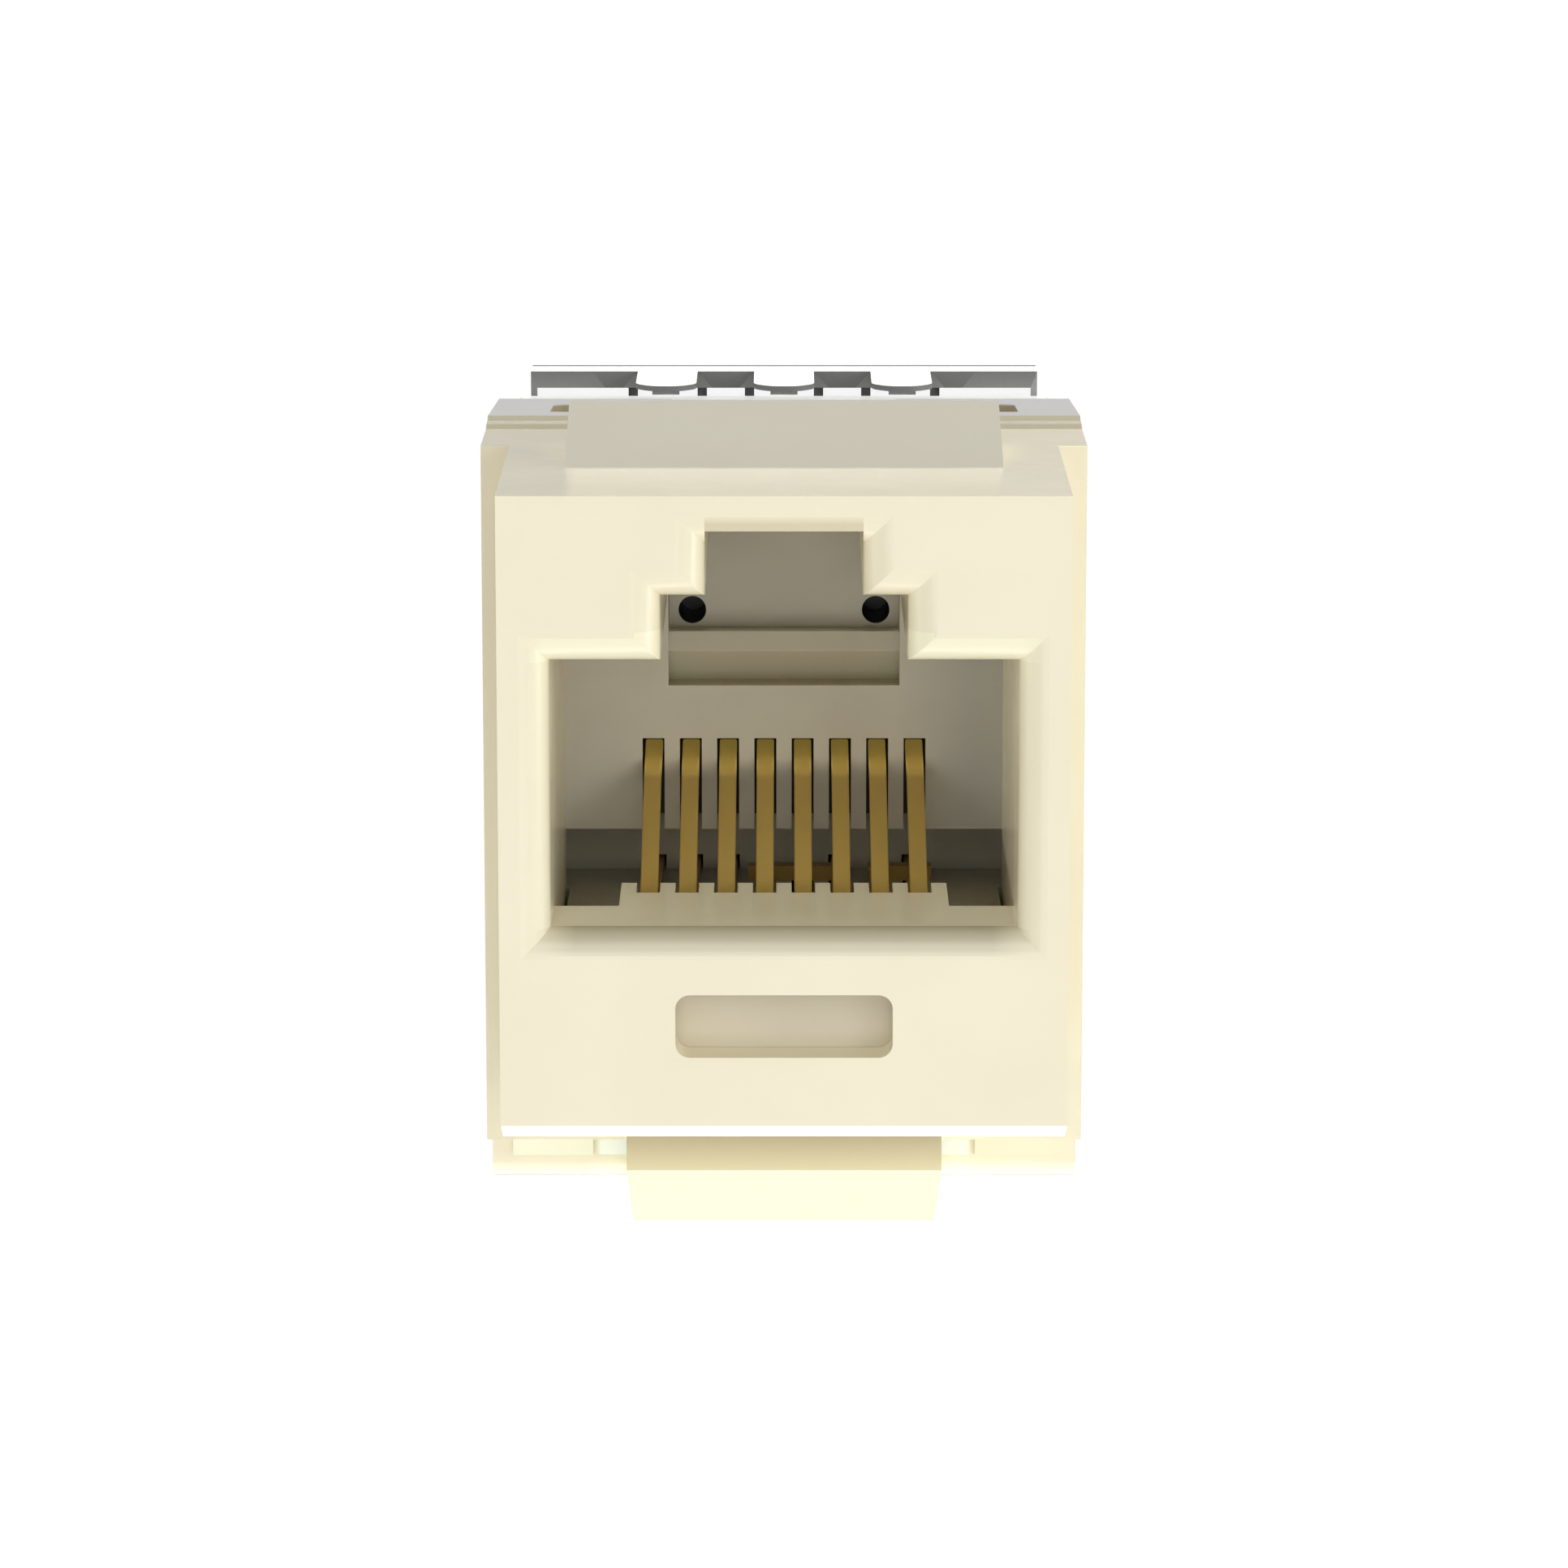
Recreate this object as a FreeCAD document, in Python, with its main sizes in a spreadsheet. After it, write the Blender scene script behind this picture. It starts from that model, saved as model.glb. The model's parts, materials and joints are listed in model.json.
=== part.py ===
import FreeCAD, Part
import os
import math
import types
import Sketcher

# Punch-down jack for a keystone panel opening, sizes in millimetres.
# X is across the face, Y runs from the face to the rear, Z is up.
# The origin is on the axis of the plug port, in the plane of the face.
# Heights are written from the lower edge of the face, and each body is then lowered
# by port_axis_height.

os.makedirs("parts", exist_ok=True)

doc = FreeCAD.newDocument("PunchDownJack")
sheet = doc.addObject("Spreadsheet::Sheet", "Sizes")

dimensions = {
    # plug port
    "port_width": 11.9,
    "port_height": 6.9,
    "port_sill": 5.1,
    "port_depth": 12.3,
    "step_width": 6.26,
    "step_rise": 1.66,
    "notch_width": 4.0,
    "notch_rise": 1.36,
    "notch_relief": 0.35,
    "port_round": 0.75,
    # face block of the front housing, around the port
    "side_wall": 1.3,
    "top_wall": 1.26,
    "chamfer_depth": 1.25,
    "chamfer_drop": 0.6,
    # shoulders that stop against the panel, and the feet behind them
    "seam_step": 0.7,
    "shoulder_length": 4.3,
    "shoulder_width": 0.77,
    "shoulder_drop": 2.62,
    "foot_length": 1.2,
    "foot_drop": 4.62,
    "foot_round": 0.8,
    "rim_land": 0.62,
    "rim_riser": 0.28,
    "rim_lift": 0.1,
    # lip, tongue and comb at the floor of the port
    "lip_depth": 3.0,
    "well_drop": 3.3,
    "tongue_margin": 0.714,
    "tongue_length": 2.8,
    "tongue_thick": 2.1,
    "comb_lip": 1.6,
    "comb_gap": 0.62,
    # icon recess under the port
    "icon_width": 5.55,
    "icon_height": 1.64,
    "icon_low": 1.79,
    "icon_depth": 1.2,
    "icon_round": 0.37,
    # fixed lug on the top face
    "lug_inset": 1.58,
    "lug_length": 4.1,
    "lug_overlap": 0.2,
    "lug_rise": 1.17,
    # flexible latch under the block
    "latch_width": 8.4,
    "latch_lead": 2.1,
    "latch_length": 7.3,
    "latch_root_drop": 2.9,
    "latch_tip_drop": 6.3,
    "latch_thick": 1.15,
    "latch_catch": 0.5,
    "latch_tail": 2.7,
    "latch_side_gap": 0.12,
    "channel_depth": 0.7,
    # small pads on the front of the feet
    "pad_margin": 0.92,
    "pad_width": 2.2,
    "pad_drop": 3.8,
    "pad_proud": 0.25,
    # sleeve that carries the rear housing
    "slip": 0.06,
    "collar_wall": 1.02,
    "plate_thick": 1.18,
    "sleeve_wall": 0.8,
    "insert_length": 4.3,
    "hollow_lead": 1.7,
    # snap hooks and their windows
    "window_margin": 0.54,
    "window_width": 2.8,
    "window_setback": 1.5,
    "window_length": 3.0,
    "window_skew": 1.0,
    "window_round": 0.4,
    "hook_rise": 0.75,
    "hook_length": 1.9,
    "hook_margin": 0.15,
    "low_hook_margin": 0.68,
    "low_hook_width": 1.3,
    # contact springs
    "contact_pitch": 1.016,
    "contact_width": 0.47,
    "contact_thick": 0.3,
    "leg_drop": 1.35,
    "row_drop": 1.3,
    "hairpin_setback": 0.93,
    "hairpin_radius": 0.4,
    "bend_lead": 1.1,
    "bend_rise": 1.74,
    "bend_radius": 1.0,
    "tip_entry": 1.3,
    "tip_rise": 0.46,
    "drop_lead": 0.2,
    "drop_run": 0.9,
    "drop_radius": 0.35,
    "bridge_length": 0.55,
    "bridge_thick": 0.4,
    "bridge_overhang": 0.24,
    "barb_width": 0.67,
    "barb_length": 0.4,
    "barb_setback": 1.3,
    "tail_short": 0.1,
    # contact carrier behind the port
    "slot_gap": 0.6,
    "slot_margin": 0.42,
    "slot_length": 2.1,
    "plate_slip": 0.1,
    "plate_setback": 0.4,
    "tunnel_rise": 0.1,
    "tunnel_length": 2.3,
    "leg_room": 0.1,
    "recess_width": 6.28,
    "recess_rise": 4.08,
    "recess_depth": 2.0,
    "ridge_foot": 0.9,
    "ridge_nose": 0.45,
    "ridge_nose_rise": 0.89,
    "ridge_rise": 1.34,
    "gauge_hole": 0.76,
    "gauge_spread": 5.03,
    "gauge_rise": 1.75,
    # circuit board
    "board_thick": 1.2,
    "board_gap": 0.1,
    "contact_hole": 0.7,
    "terminal_hole": 0.95,
    # rear housing with the wire towers
    "collar_floor_thick": 1.32,
    "plate_overrun": 0.26,
    "plate_fall": 0.485,
    "base_thick": 1.8,
    "tower_length": 11.9,
    "tower_fall": 1.76,
    "edge_round": 0.4,
    "channel_width": 4.6,
    "channel_wall": 1.45,
    "row_pitch": 4.1,
    "wire_gap": 0.9,
    "wire_slot_length": 7.5,
    "mouth_gap": 1.9,
    "mouth_depth": 1.2,
    "rear_notch_width": 6.3,
    "rear_notch_depth": 0.42,
    # wire terminals
    "blade_thick": 0.5,
    "blade_height": 2.3,
    "blade_setback": 3.3,
    "blade_slit": 0.36,
    "blade_slit_length": 5.6,
    "blade_mouth": 0.9,
    "blade_mouth_depth": 1.2,
    "blade_tip_height": 1.5,
    "blade_taper": 0.7,
    "pin_height": 0.6,
    # clear cap over the towers
    "cap_inset": 0.42,
    "cap_rise": 0.66,
    "cap_seat": 0.04,
    "cap_thick": 1.56,
    "bevel_depth": 0.2,
    "bevel_side": 0.2,
    "bevel_top": 0.47,
    "tab_width": 1.79,
    "tab_pitch": 3.49,
    "tab_reach": 3.06,
    "tab_thick": 0.16,
    "tab_crown": 0.52,
    "tab_round": 0.65,
    "nose_width": 0.8,
    "nose_length": 1.2,
    "nose_setback": 0.08,
    "nose_thick": 0.27,
    "relief_width": 0.28,
    "relief_depth": 0.3,
    "relief_length": 2.0,
    "peg_reach": 3.0,
    "peg_height": 2.0,
    "peg_pitch": 7.2,
}
for row, (name, number) in enumerate(dimensions.items(), 1):
    sheet.set("A%d" % row, name)
    sheet.set("B%d" % row, str(number))
    sheet.setAlias("B%d" % row, name)
doc.recompute()


class Size:
    """A number together with the sheet formula that gives it."""

    def __init__(self, number, formula):
        self.number = number
        self.formula = formula

    def __add__(self, other):
        other = as_size(other)
        return Size(self.number + other.number, "(%s + %s)" % (self.formula, other.formula))

    def __sub__(self, other):
        other = as_size(other)
        return Size(self.number - other.number, "(%s - %s)" % (self.formula, other.formula))

    def __mul__(self, other):
        other = as_size(other)
        return Size(self.number * other.number, "%s * %s" % (self.formula, other.formula))

    def __truediv__(self, other):
        other = as_size(other)
        return Size(self.number / other.number, "%s / (%s)" % (self.formula, other.formula))

    def __neg__(self):
        return Size(-self.number, "(-1 * %s)" % self.formula)

    def __radd__(self, other):
        return as_size(other) + self

    def __rsub__(self, other):
        return as_size(other) - self

    def __rmul__(self, other):
        return as_size(other) * self


def as_size(value):
    if isinstance(value, Size):
        return value
    return Size(value, "(%r)" % value)


s = types.SimpleNamespace(**{name: Size(number, "Sizes." + name) for name, number in dimensions.items()})

# Which way a sketch on each plane faces, and the axis that it is moved along.
facing = {"XY_Plane": 1, "XZ_Plane": -1, "YZ_Plane": 1}
bodies = []
cuts = []


def new_body(name, across=0):
    body = doc.addObject("PartDesign::Body", name)
    body.Label = name
    body.setExpression("Placement.Base.x", as_size(across).formula)
    body.setExpression("Placement.Base.z", (-axis_height).formula)
    bodies.append(body)
    return body


def new_sketch(body, name, plane, offset=0):
    sketch = body.newObject("Sketcher::SketchObject", name)
    planes = {part.Role: part for part in body.Origin.OriginFeatures}
    sketch.AttachmentSupport = [(planes[plane], "")]
    sketch.MapMode = "FlatFace"
    shift = facing[plane] * as_size(offset)
    sketch.AttachmentOffset = FreeCAD.Placement(FreeCAD.Vector(0, 0, shift.number), FreeCAD.Rotation())
    sketch.setExpression("AttachmentOffset.Base.z", shift.formula)
    return sketch


def bind(sketch, constraint, size):
    index = sketch.addConstraint(constraint)
    sketch.setExpression("Constraints[%d]" % index, size.formula)


def pin_point(sketch, geometry, end, place):
    across, up = [as_size(value) for value in place]
    bind(sketch, Sketcher.Constraint("DistanceX", -1, 1, geometry, end, across.number), across)
    bind(sketch, Sketcher.Constraint("DistanceY", -1, 1, geometry, end, up.number), up)


def flat(place):
    return FreeCAD.Vector(as_size(place[0]).number, as_size(place[1]).number, 0)


def draw_loop(sketch, corners):
    """A closed outline of straight edges through the corners."""
    first = sketch.GeometryCount
    count = len(corners)
    for index in range(count):
        line = Part.LineSegment(flat(corners[index]), flat(corners[(index + 1) % count]))
        sketch.addGeometry(line, False)
    for index in range(count):
        follower = first + (index + 1) % count
        sketch.addConstraint(Sketcher.Constraint("Coincident", first + index, 2, follower, 1))
        pin_point(sketch, first + index, 1, corners[index])


def draw_circle(sketch, centre, radius):
    up = FreeCAD.Vector(0, 0, 1)
    index = sketch.addGeometry(Part.Circle(flat(centre), up, radius.number), False)
    pin_point(sketch, index, 3, centre)
    bind(sketch, Sketcher.Constraint("Radius", index, radius.number), radius)


def draw_path(sketch, points, radii):
    """An open run of straight stretches whose inner points are rounded."""
    places = [flat(point) for point in points]
    starts = [places[0]]
    ends = []
    arcs = []
    for before, corner, after, radius in zip(places, places[1:], places[2:], radii):
        inward = (before - corner).normalize()
        outward = (after - corner).normalize()
        turn = math.pi - inward.getAngle(outward)
        reach = radius.number * math.tan(turn / 2)
        ends.append(corner + inward * reach)
        starts.append(corner + outward * reach)
        side = (inward + outward).normalize()
        centre = corner + side * math.hypot(reach, radius.number)
        leftward = inward.cross(outward).z < 0
        arcs.append((centre, leftward))
    ends.append(places[-1])
    lines = []
    for start, end in zip(starts, ends):
        lines.append(sketch.addGeometry(Part.LineSegment(start, end), False))
    pin_point(sketch, lines[0], 1, points[0])
    pin_point(sketch, lines[-1], 2, points[-1])
    for index, (centre, leftward) in enumerate(arcs):
        first, last = ends[index], starts[index + 1]
        if not leftward:
            first, last = last, first
        angles = [math.atan2(place.y - centre.y, place.x - centre.x) for place in (first, last)]
        circle = Part.Circle(centre, FreeCAD.Vector(0, 0, 1), radii[index].number)
        arc = sketch.addGeometry(Part.ArcOfCircle(circle, angles[0], angles[1]), False)
        arc_start, arc_end = (1, 2) if leftward else (2, 1)
        sketch.addConstraint(Sketcher.Constraint("Tangent", lines[index], 2, arc, arc_start))
        sketch.addConstraint(Sketcher.Constraint("Tangent", arc, arc_end, lines[index + 1], 1))
        bind(sketch, Sketcher.Constraint("Radius", arc, radii[index].number), radii[index])
        corner = sketch.addGeometry(Part.Point(places[index + 1]), True)
        pin_point(sketch, corner, 1, points[index + 1])
        sketch.addConstraint(Sketcher.Constraint("PointOnObject", corner, 1, lines[index]))
        sketch.addConstraint(Sketcher.Constraint("PointOnObject", corner, 1, lines[index + 1]))


def box_loop(left, right, low, high):
    return [(left, low), (right, low), (right, high), (left, high)]


def centred_loop(width, low, high):
    return box_loop(-width / 2, width / 2, low, high)


def mirrored_loops(inner, outer, low, high):
    return [box_loop(-outer, -inner, low, high), box_loop(inner, outer, low, high)]


def add_pad(body, name, plane, loops, start, end):
    """Material between two places along the plane's axis."""
    sketch = new_sketch(body, name + "_sketch", plane, start)
    for loop in loops:
        draw_loop(sketch, loop)
    feature = body.newObject("PartDesign::Pad", name)
    feature.Profile = sketch
    feature.setExpression("Length", (end - start).formula)
    feature.Reversed = facing[plane] < 0
    return feature


def add_slab(body, name, loops, width, centre=0):
    """A side profile, given in Y and Z, made as wide as asked and centred across."""
    sketch = new_sketch(body, name + "_sketch", "YZ_Plane", centre)
    for loop in loops:
        draw_loop(sketch, loop)
    feature = body.newObject("PartDesign::Pad", name)
    feature.Profile = sketch
    feature.SideType = "Symmetric"
    feature.setExpression("Length", width.formula)
    return feature


def cut_pocket(body, name, plane, loops, start, end, circles=()):
    sketch = new_sketch(body, name + "_sketch", plane, start)
    for loop in loops:
        draw_loop(sketch, loop)
    for centre, radius in circles:
        draw_circle(sketch, centre, radius)
    feature = body.newObject("PartDesign::Pocket", name)
    feature.Profile = sketch
    feature.setExpression("Length", (end - start).formula)
    feature.Reversed = facing[plane] > 0
    cuts.append(feature)
    return feature


def cut_across(body, name, loops, width):
    sketch = new_sketch(body, name + "_sketch", "YZ_Plane")
    for loop in loops:
        draw_loop(sketch, loop)
    feature = body.newObject("PartDesign::Pocket", name)
    feature.Profile = sketch
    feature.SideType = "Symmetric"
    feature.setExpression("Length", width.formula)
    cuts.append(feature)
    return feature


def near(value, size):
    return abs(value - as_size(size).number) < tolerance


def dress_edges(body, kind, name, size, wanted):
    """A fillet or chamfer on the edges of the last feature whose box is as wanted."""
    doc.recompute()
    base = body.Tip
    edges = []
    for index, edge in enumerate(base.Shape.Edges, 1):
        if wanted(edge.BoundBox):
            edges.append("Edge%d" % index)
    if not edges:
        raise RuntimeError("no edge found for " + name)
    feature = body.newObject("PartDesign::" + kind, name)
    feature.Base = (base, edges)
    feature.setExpression("Radius" if kind == "Fillet" else "Size", size.formula)
    return feature


tolerance = 0.001
smallest_cut = 0.001
contact_count = 8
row_count = 4
tab_count = 3

# Face block, built outwards from the port.
axis_height = s.port_sill + s.port_height / 2
port_ceiling = s.port_sill + s.port_height
step_top = port_ceiling + s.step_rise
notch_top = step_top + s.notch_rise
face_width = s.port_width + 2 * s.side_wall
face_height = notch_top + s.top_wall
body_width = face_width + 2 * s.shoulder_width
rim_top = face_height + 2 * s.rim_lift

# Places along the depth, from the port's back wall.
insert_back = s.port_depth + s.insert_length
seam_depth = s.port_depth + s.seam_step
seat_depth = seam_depth - s.shoulder_length
foot_front = seam_depth - s.foot_length
board_back = insert_back + s.board_thick
base_back = board_back + s.base_thick
collar_end = base_back + s.plate_overrun
tower_end = base_back + s.tower_length

# Sleeve, collar and what sits in them.
inner_top = face_height - s.plate_thick
collar_floor = s.collar_floor_thick - s.foot_drop
sleeve_width = body_width - 2 * s.collar_wall - 2 * s.slip
sleeve_top = inner_top - s.slip
sleeve_low = collar_floor + s.slip
cavity_width = sleeve_width - 2 * s.sleeve_wall
cavity_top = sleeve_top - s.sleeve_wall
cavity_floor = s.port_sill - s.well_drop
channel_half = s.latch_width / 2 + s.latch_side_gap
window_front = seam_depth + s.window_setback
window_rear = window_front + s.window_length
window_outer = sleeve_width / 2 - s.window_margin
window_inner = window_outer - s.window_width
low_hook_inner = channel_half + s.low_hook_margin

# Comb, contacts and terminals.
contact_span = s.contact_pitch * (contact_count - 1)
tongue_depth = s.lip_depth + s.tongue_length
leg_height = s.port_sill - s.leg_drop
leg_seat = leg_height - s.contact_thick / 2
low_leg_height = leg_height - s.row_drop
bend_height = s.port_sill + s.bend_rise
tip_height = bend_height + s.tip_rise
tower_top = face_height - s.tower_fall
row_middle = (tower_top - s.foot_drop) / 2
terminal_place = (body_width + s.channel_width) / 4


def contact_across(number):
    return s.contact_pitch * (number - (contact_count + 1) / 2)


def row_height(number):
    return row_middle + s.row_pitch * (number - (row_count + 1) / 2)


# Each contact's tail: straight, dropped to the low row, or bridged sideways to another
# contact's place.
dropped = (5, 6, 8)
bridged = {4: 6, 7: 8}
# The outer side on which each bridge runs past its contacts, and the contacts with a barb.
overhung = {4: -1, 7: 1}
barbed = (2,)


def tail_across(number):
    return contact_across(bridged.get(number, number))


def port_outline():
    half, step, notch = s.port_width / 2, s.step_width / 2, s.notch_width / 2
    right = [(half, s.port_sill), (half, port_ceiling), (step, port_ceiling), (step, step_top),
             (notch, step_top), (notch, notch_top)]
    left = [(-across, up) for across, up in reversed(right)]
    return right + left


def build_front_housing():
    body = new_body("front_housing")
    zero = as_size(0)
    block = [(zero, zero), (s.chamfer_depth, -s.chamfer_drop), (seam_depth, -s.chamfer_drop),
             (seam_depth, face_height), (zero, face_height)]
    add_slab(body, "face_block", [block], face_width)
    rim_lip = seam_depth - s.rim_riser
    rim_step = rim_lip - s.rim_land - s.rim_riser
    shoulders = [(seat_depth, -s.shoulder_drop), (seam_depth, -s.shoulder_drop),
                 (seam_depth, rim_top), (rim_lip, face_height + s.rim_lift),
                 (rim_step + s.rim_riser, face_height + s.rim_lift),
                 (rim_step, face_height), (seat_depth, face_height)]
    add_slab(body, "shoulders", [shoulders], body_width)
    feet = [(foot_front, -s.foot_drop), (seam_depth, -s.foot_drop),
            (seam_depth, -s.shoulder_drop), (foot_front, -s.shoulder_drop)]
    add_slab(body, "feet", [feet], body_width)
    dress_edges(body, "Fillet", "foot_front_round", s.foot_round,
                lambda box: near(box.ZMax, -s.foot_drop) and near(box.YMax, foot_front))
    cut_pocket(body, "latch_channel", "XZ_Plane",
               [box_loop(-channel_half, channel_half, -s.foot_drop, -s.shoulder_drop)],
               foot_front, seam_depth)
    pad_inner = channel_half + s.pad_margin
    add_pad(body, "foot_pads", "XZ_Plane",
            mirrored_loops(pad_inner, pad_inner + s.pad_width, -s.pad_drop, -s.shoulder_drop),
            foot_front - s.pad_proud, foot_front)
    add_slab(body, "lug", [lug_profile()], face_width - 2 * s.lug_inset)
    add_slab(body, "latch", [latch_profile()], s.latch_width)
    add_pad(body, "sleeve", "XZ_Plane", [centred_loop(sleeve_width, sleeve_low, sleeve_top)],
            seam_depth, insert_back)
    for side, side_name in ((-1, "left"), (1, "right")):
        middle = side * (window_inner + window_outer) / 2
        width = window_outer - window_inner - 2 * s.hook_margin
        add_slab(body, "top_hook_" + side_name, [hook_profile(sleeve_top, 1)], width, middle)
        middle = side * (low_hook_inner + s.low_hook_width / 2)
        add_slab(body, "low_hook_" + side_name, [hook_profile(sleeve_low, -1)], s.low_hook_width, middle)
    cut_pocket(body, "plug_port", "XZ_Plane", [port_outline()], zero, s.port_depth)
    dress_edges(body, "Fillet", "port_edge_round", s.port_round,
                lambda box: near(box.YMax, 0) and port_box_holds(box))
    cut_pocket(body, "notch_roof", "XZ_Plane",
               [centred_loop(s.notch_width, step_top, notch_top + s.notch_relief)], zero, s.port_depth)
    cut_pocket(body, "contact_well", "XZ_Plane",
               [centred_loop(s.port_width, cavity_floor, axis_height)],
               s.lip_depth, s.port_depth)
    cut_pocket(body, "insert_cavity", "XZ_Plane",
               [centred_loop(cavity_width, cavity_floor, cavity_top)],
               s.port_depth, insert_back)
    cut_pocket(body, "under_hollow", "XZ_Plane",
               [centred_loop(cavity_width, s.sleeve_wall - s.shoulder_drop, cavity_floor - s.sleeve_wall)],
               seat_depth + s.hollow_lead, insert_back)
    add_pad(body, "comb_tongue", "XY_Plane",
            [centred_loop(contact_span + 2 * s.tongue_margin, s.lip_depth, tongue_depth)],
            s.port_sill - s.tongue_thick, s.port_sill)
    cut_pocket(body, "comb_slots", "XY_Plane",
               [box_loop(contact_across(number) - s.comb_gap / 2, contact_across(number) + s.comb_gap / 2,
                         s.lip_depth + s.comb_lip, tongue_depth) for number in range(1, contact_count + 1)],
               s.port_sill - s.tongue_thick, s.port_sill)
    cut_pocket(body, "icon_recess", "XZ_Plane",
               [centred_loop(s.icon_width, s.icon_low, s.icon_low + s.icon_height)], zero, s.icon_depth)
    dress_edges(body, "Fillet", "icon_corners", s.icon_round,
                lambda box: near(box.YMax, s.icon_depth) and near(box.YMin, 0)
                and near(abs(box.XMax), s.icon_width / 2))


def port_box_holds(box):
    half = s.port_width.number / 2 + tolerance
    low = s.port_sill.number - tolerance
    high = notch_top.number + tolerance
    return box.XMin > -half and box.XMax < half and box.ZMin > low and box.ZMax < high


def lug_profile():
    lug_end = seat_depth + s.lug_overlap
    return [(lug_end - s.lug_length, face_height), (lug_end, face_height),
            (lug_end, face_height + s.lug_rise)]


def latch_profile():
    """Root block, sloping arm, catch step and finger tail."""
    latch_front = seat_depth - s.latch_lead
    latch_tip = latch_front + s.latch_length
    slope = (s.latch_tip_drop - s.latch_root_drop) / s.latch_length
    root_top = s.latch_root_drop + slope * s.latch_lead - s.latch_thick
    tip_top = s.latch_tip_drop - s.latch_thick
    tail_end = latch_tip + s.latch_tail
    return [(latch_front, -s.chamfer_drop), (latch_front, -s.latch_root_drop),
            (latch_tip, -s.latch_tip_drop), (latch_tip, s.latch_catch - s.latch_tip_drop),
            (tail_end, s.latch_catch - s.latch_tip_drop), (tail_end, -tip_top),
            (latch_tip, -tip_top), (seat_depth, -root_top), (seat_depth, -s.chamfer_drop)]


def hook_profile(level, upward):
    """Catch face towards the face of the jack, ramp towards the rear."""
    front = window_front + s.slip
    return [(front, level), (front + s.hook_length, level), (front, level + upward * s.hook_rise)]


def build_contact_carrier():
    body = new_body("contact_carrier")
    low = cavity_floor + s.slip
    high = cavity_top - s.slip
    block_width = cavity_width - 2 * s.slip
    add_pad(body, "block", "XZ_Plane", [centred_loop(block_width, low, high)], s.port_depth, insert_back)
    add_pad(body, "leg_plate", "XZ_Plane", [centred_loop(s.port_width - 2 * s.plate_slip, low, leg_seat)],
            tongue_depth + s.plate_setback, s.port_depth)
    tunnel_end = s.port_depth + s.tunnel_length
    tunnel_top = s.port_sill + s.tunnel_rise
    cut_pocket(body, "lead_tunnel", "XZ_Plane", [centred_loop(block_width, leg_seat, tunnel_top)],
               s.port_depth, tunnel_end)
    cut_pocket(body, "contact_slots", "XZ_Plane",
               [slot_loop(contact_across(number), s.slot_gap, tunnel_top, tip_height + s.slot_margin)
                for number in range(1, contact_count + 1)],
               s.port_depth, s.port_depth + s.slot_length)
    leg_top = leg_height + s.contact_thick / 2 + s.leg_room
    high_tails = [number for number in range(1, contact_count + 1) if number not in dropped]
    cut_pocket(body, "high_lead_holes", "XZ_Plane",
               [slot_loop(tail_across(number), s.slot_gap, leg_seat, leg_top) for number in high_tails],
               tunnel_end, insert_back)
    low_seat = low_leg_height - s.contact_thick / 2 - s.leg_room
    cut_pocket(body, "low_lead_slots", "XZ_Plane",
               [slot_loop(tail_across(number), s.slot_gap, low_seat, leg_seat) for number in dropped],
               s.port_depth - s.drop_lead - s.bridge_length, insert_back)
    recess_low = s.port_sill + s.recess_rise
    recess_back = s.port_depth + s.recess_depth
    cut_pocket(body, "latch_recess", "XZ_Plane", [centred_loop(s.recess_width, recess_low, high)],
               s.port_depth, recess_back)
    add_slab(body, "recess_ridge", [ridge_profile(recess_low)], s.recess_width)
    half_spread = s.gauge_spread / 2
    gauge_height = recess_low + s.gauge_rise
    holes = [((across, gauge_height), s.gauge_hole / 2) for across in (-half_spread, half_spread)]
    cut_pocket(body, "gauge_holes", "XZ_Plane", [], recess_back, insert_back, holes)


def ridge_profile(level):
    """Nosed ridge across the foot of the recess, with a groove behind it."""
    foot = s.port_depth + s.ridge_foot
    return [(foot, level), (s.port_depth + s.ridge_nose, level + s.ridge_nose_rise),
            (foot, level + s.ridge_rise), (foot + s.ridge_nose, level + s.ridge_rise),
            (foot + s.ridge_nose, level)]


def slot_loop(across, gap, low, high):
    return box_loop(across - gap / 2, across + gap / 2, low, high)


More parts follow.
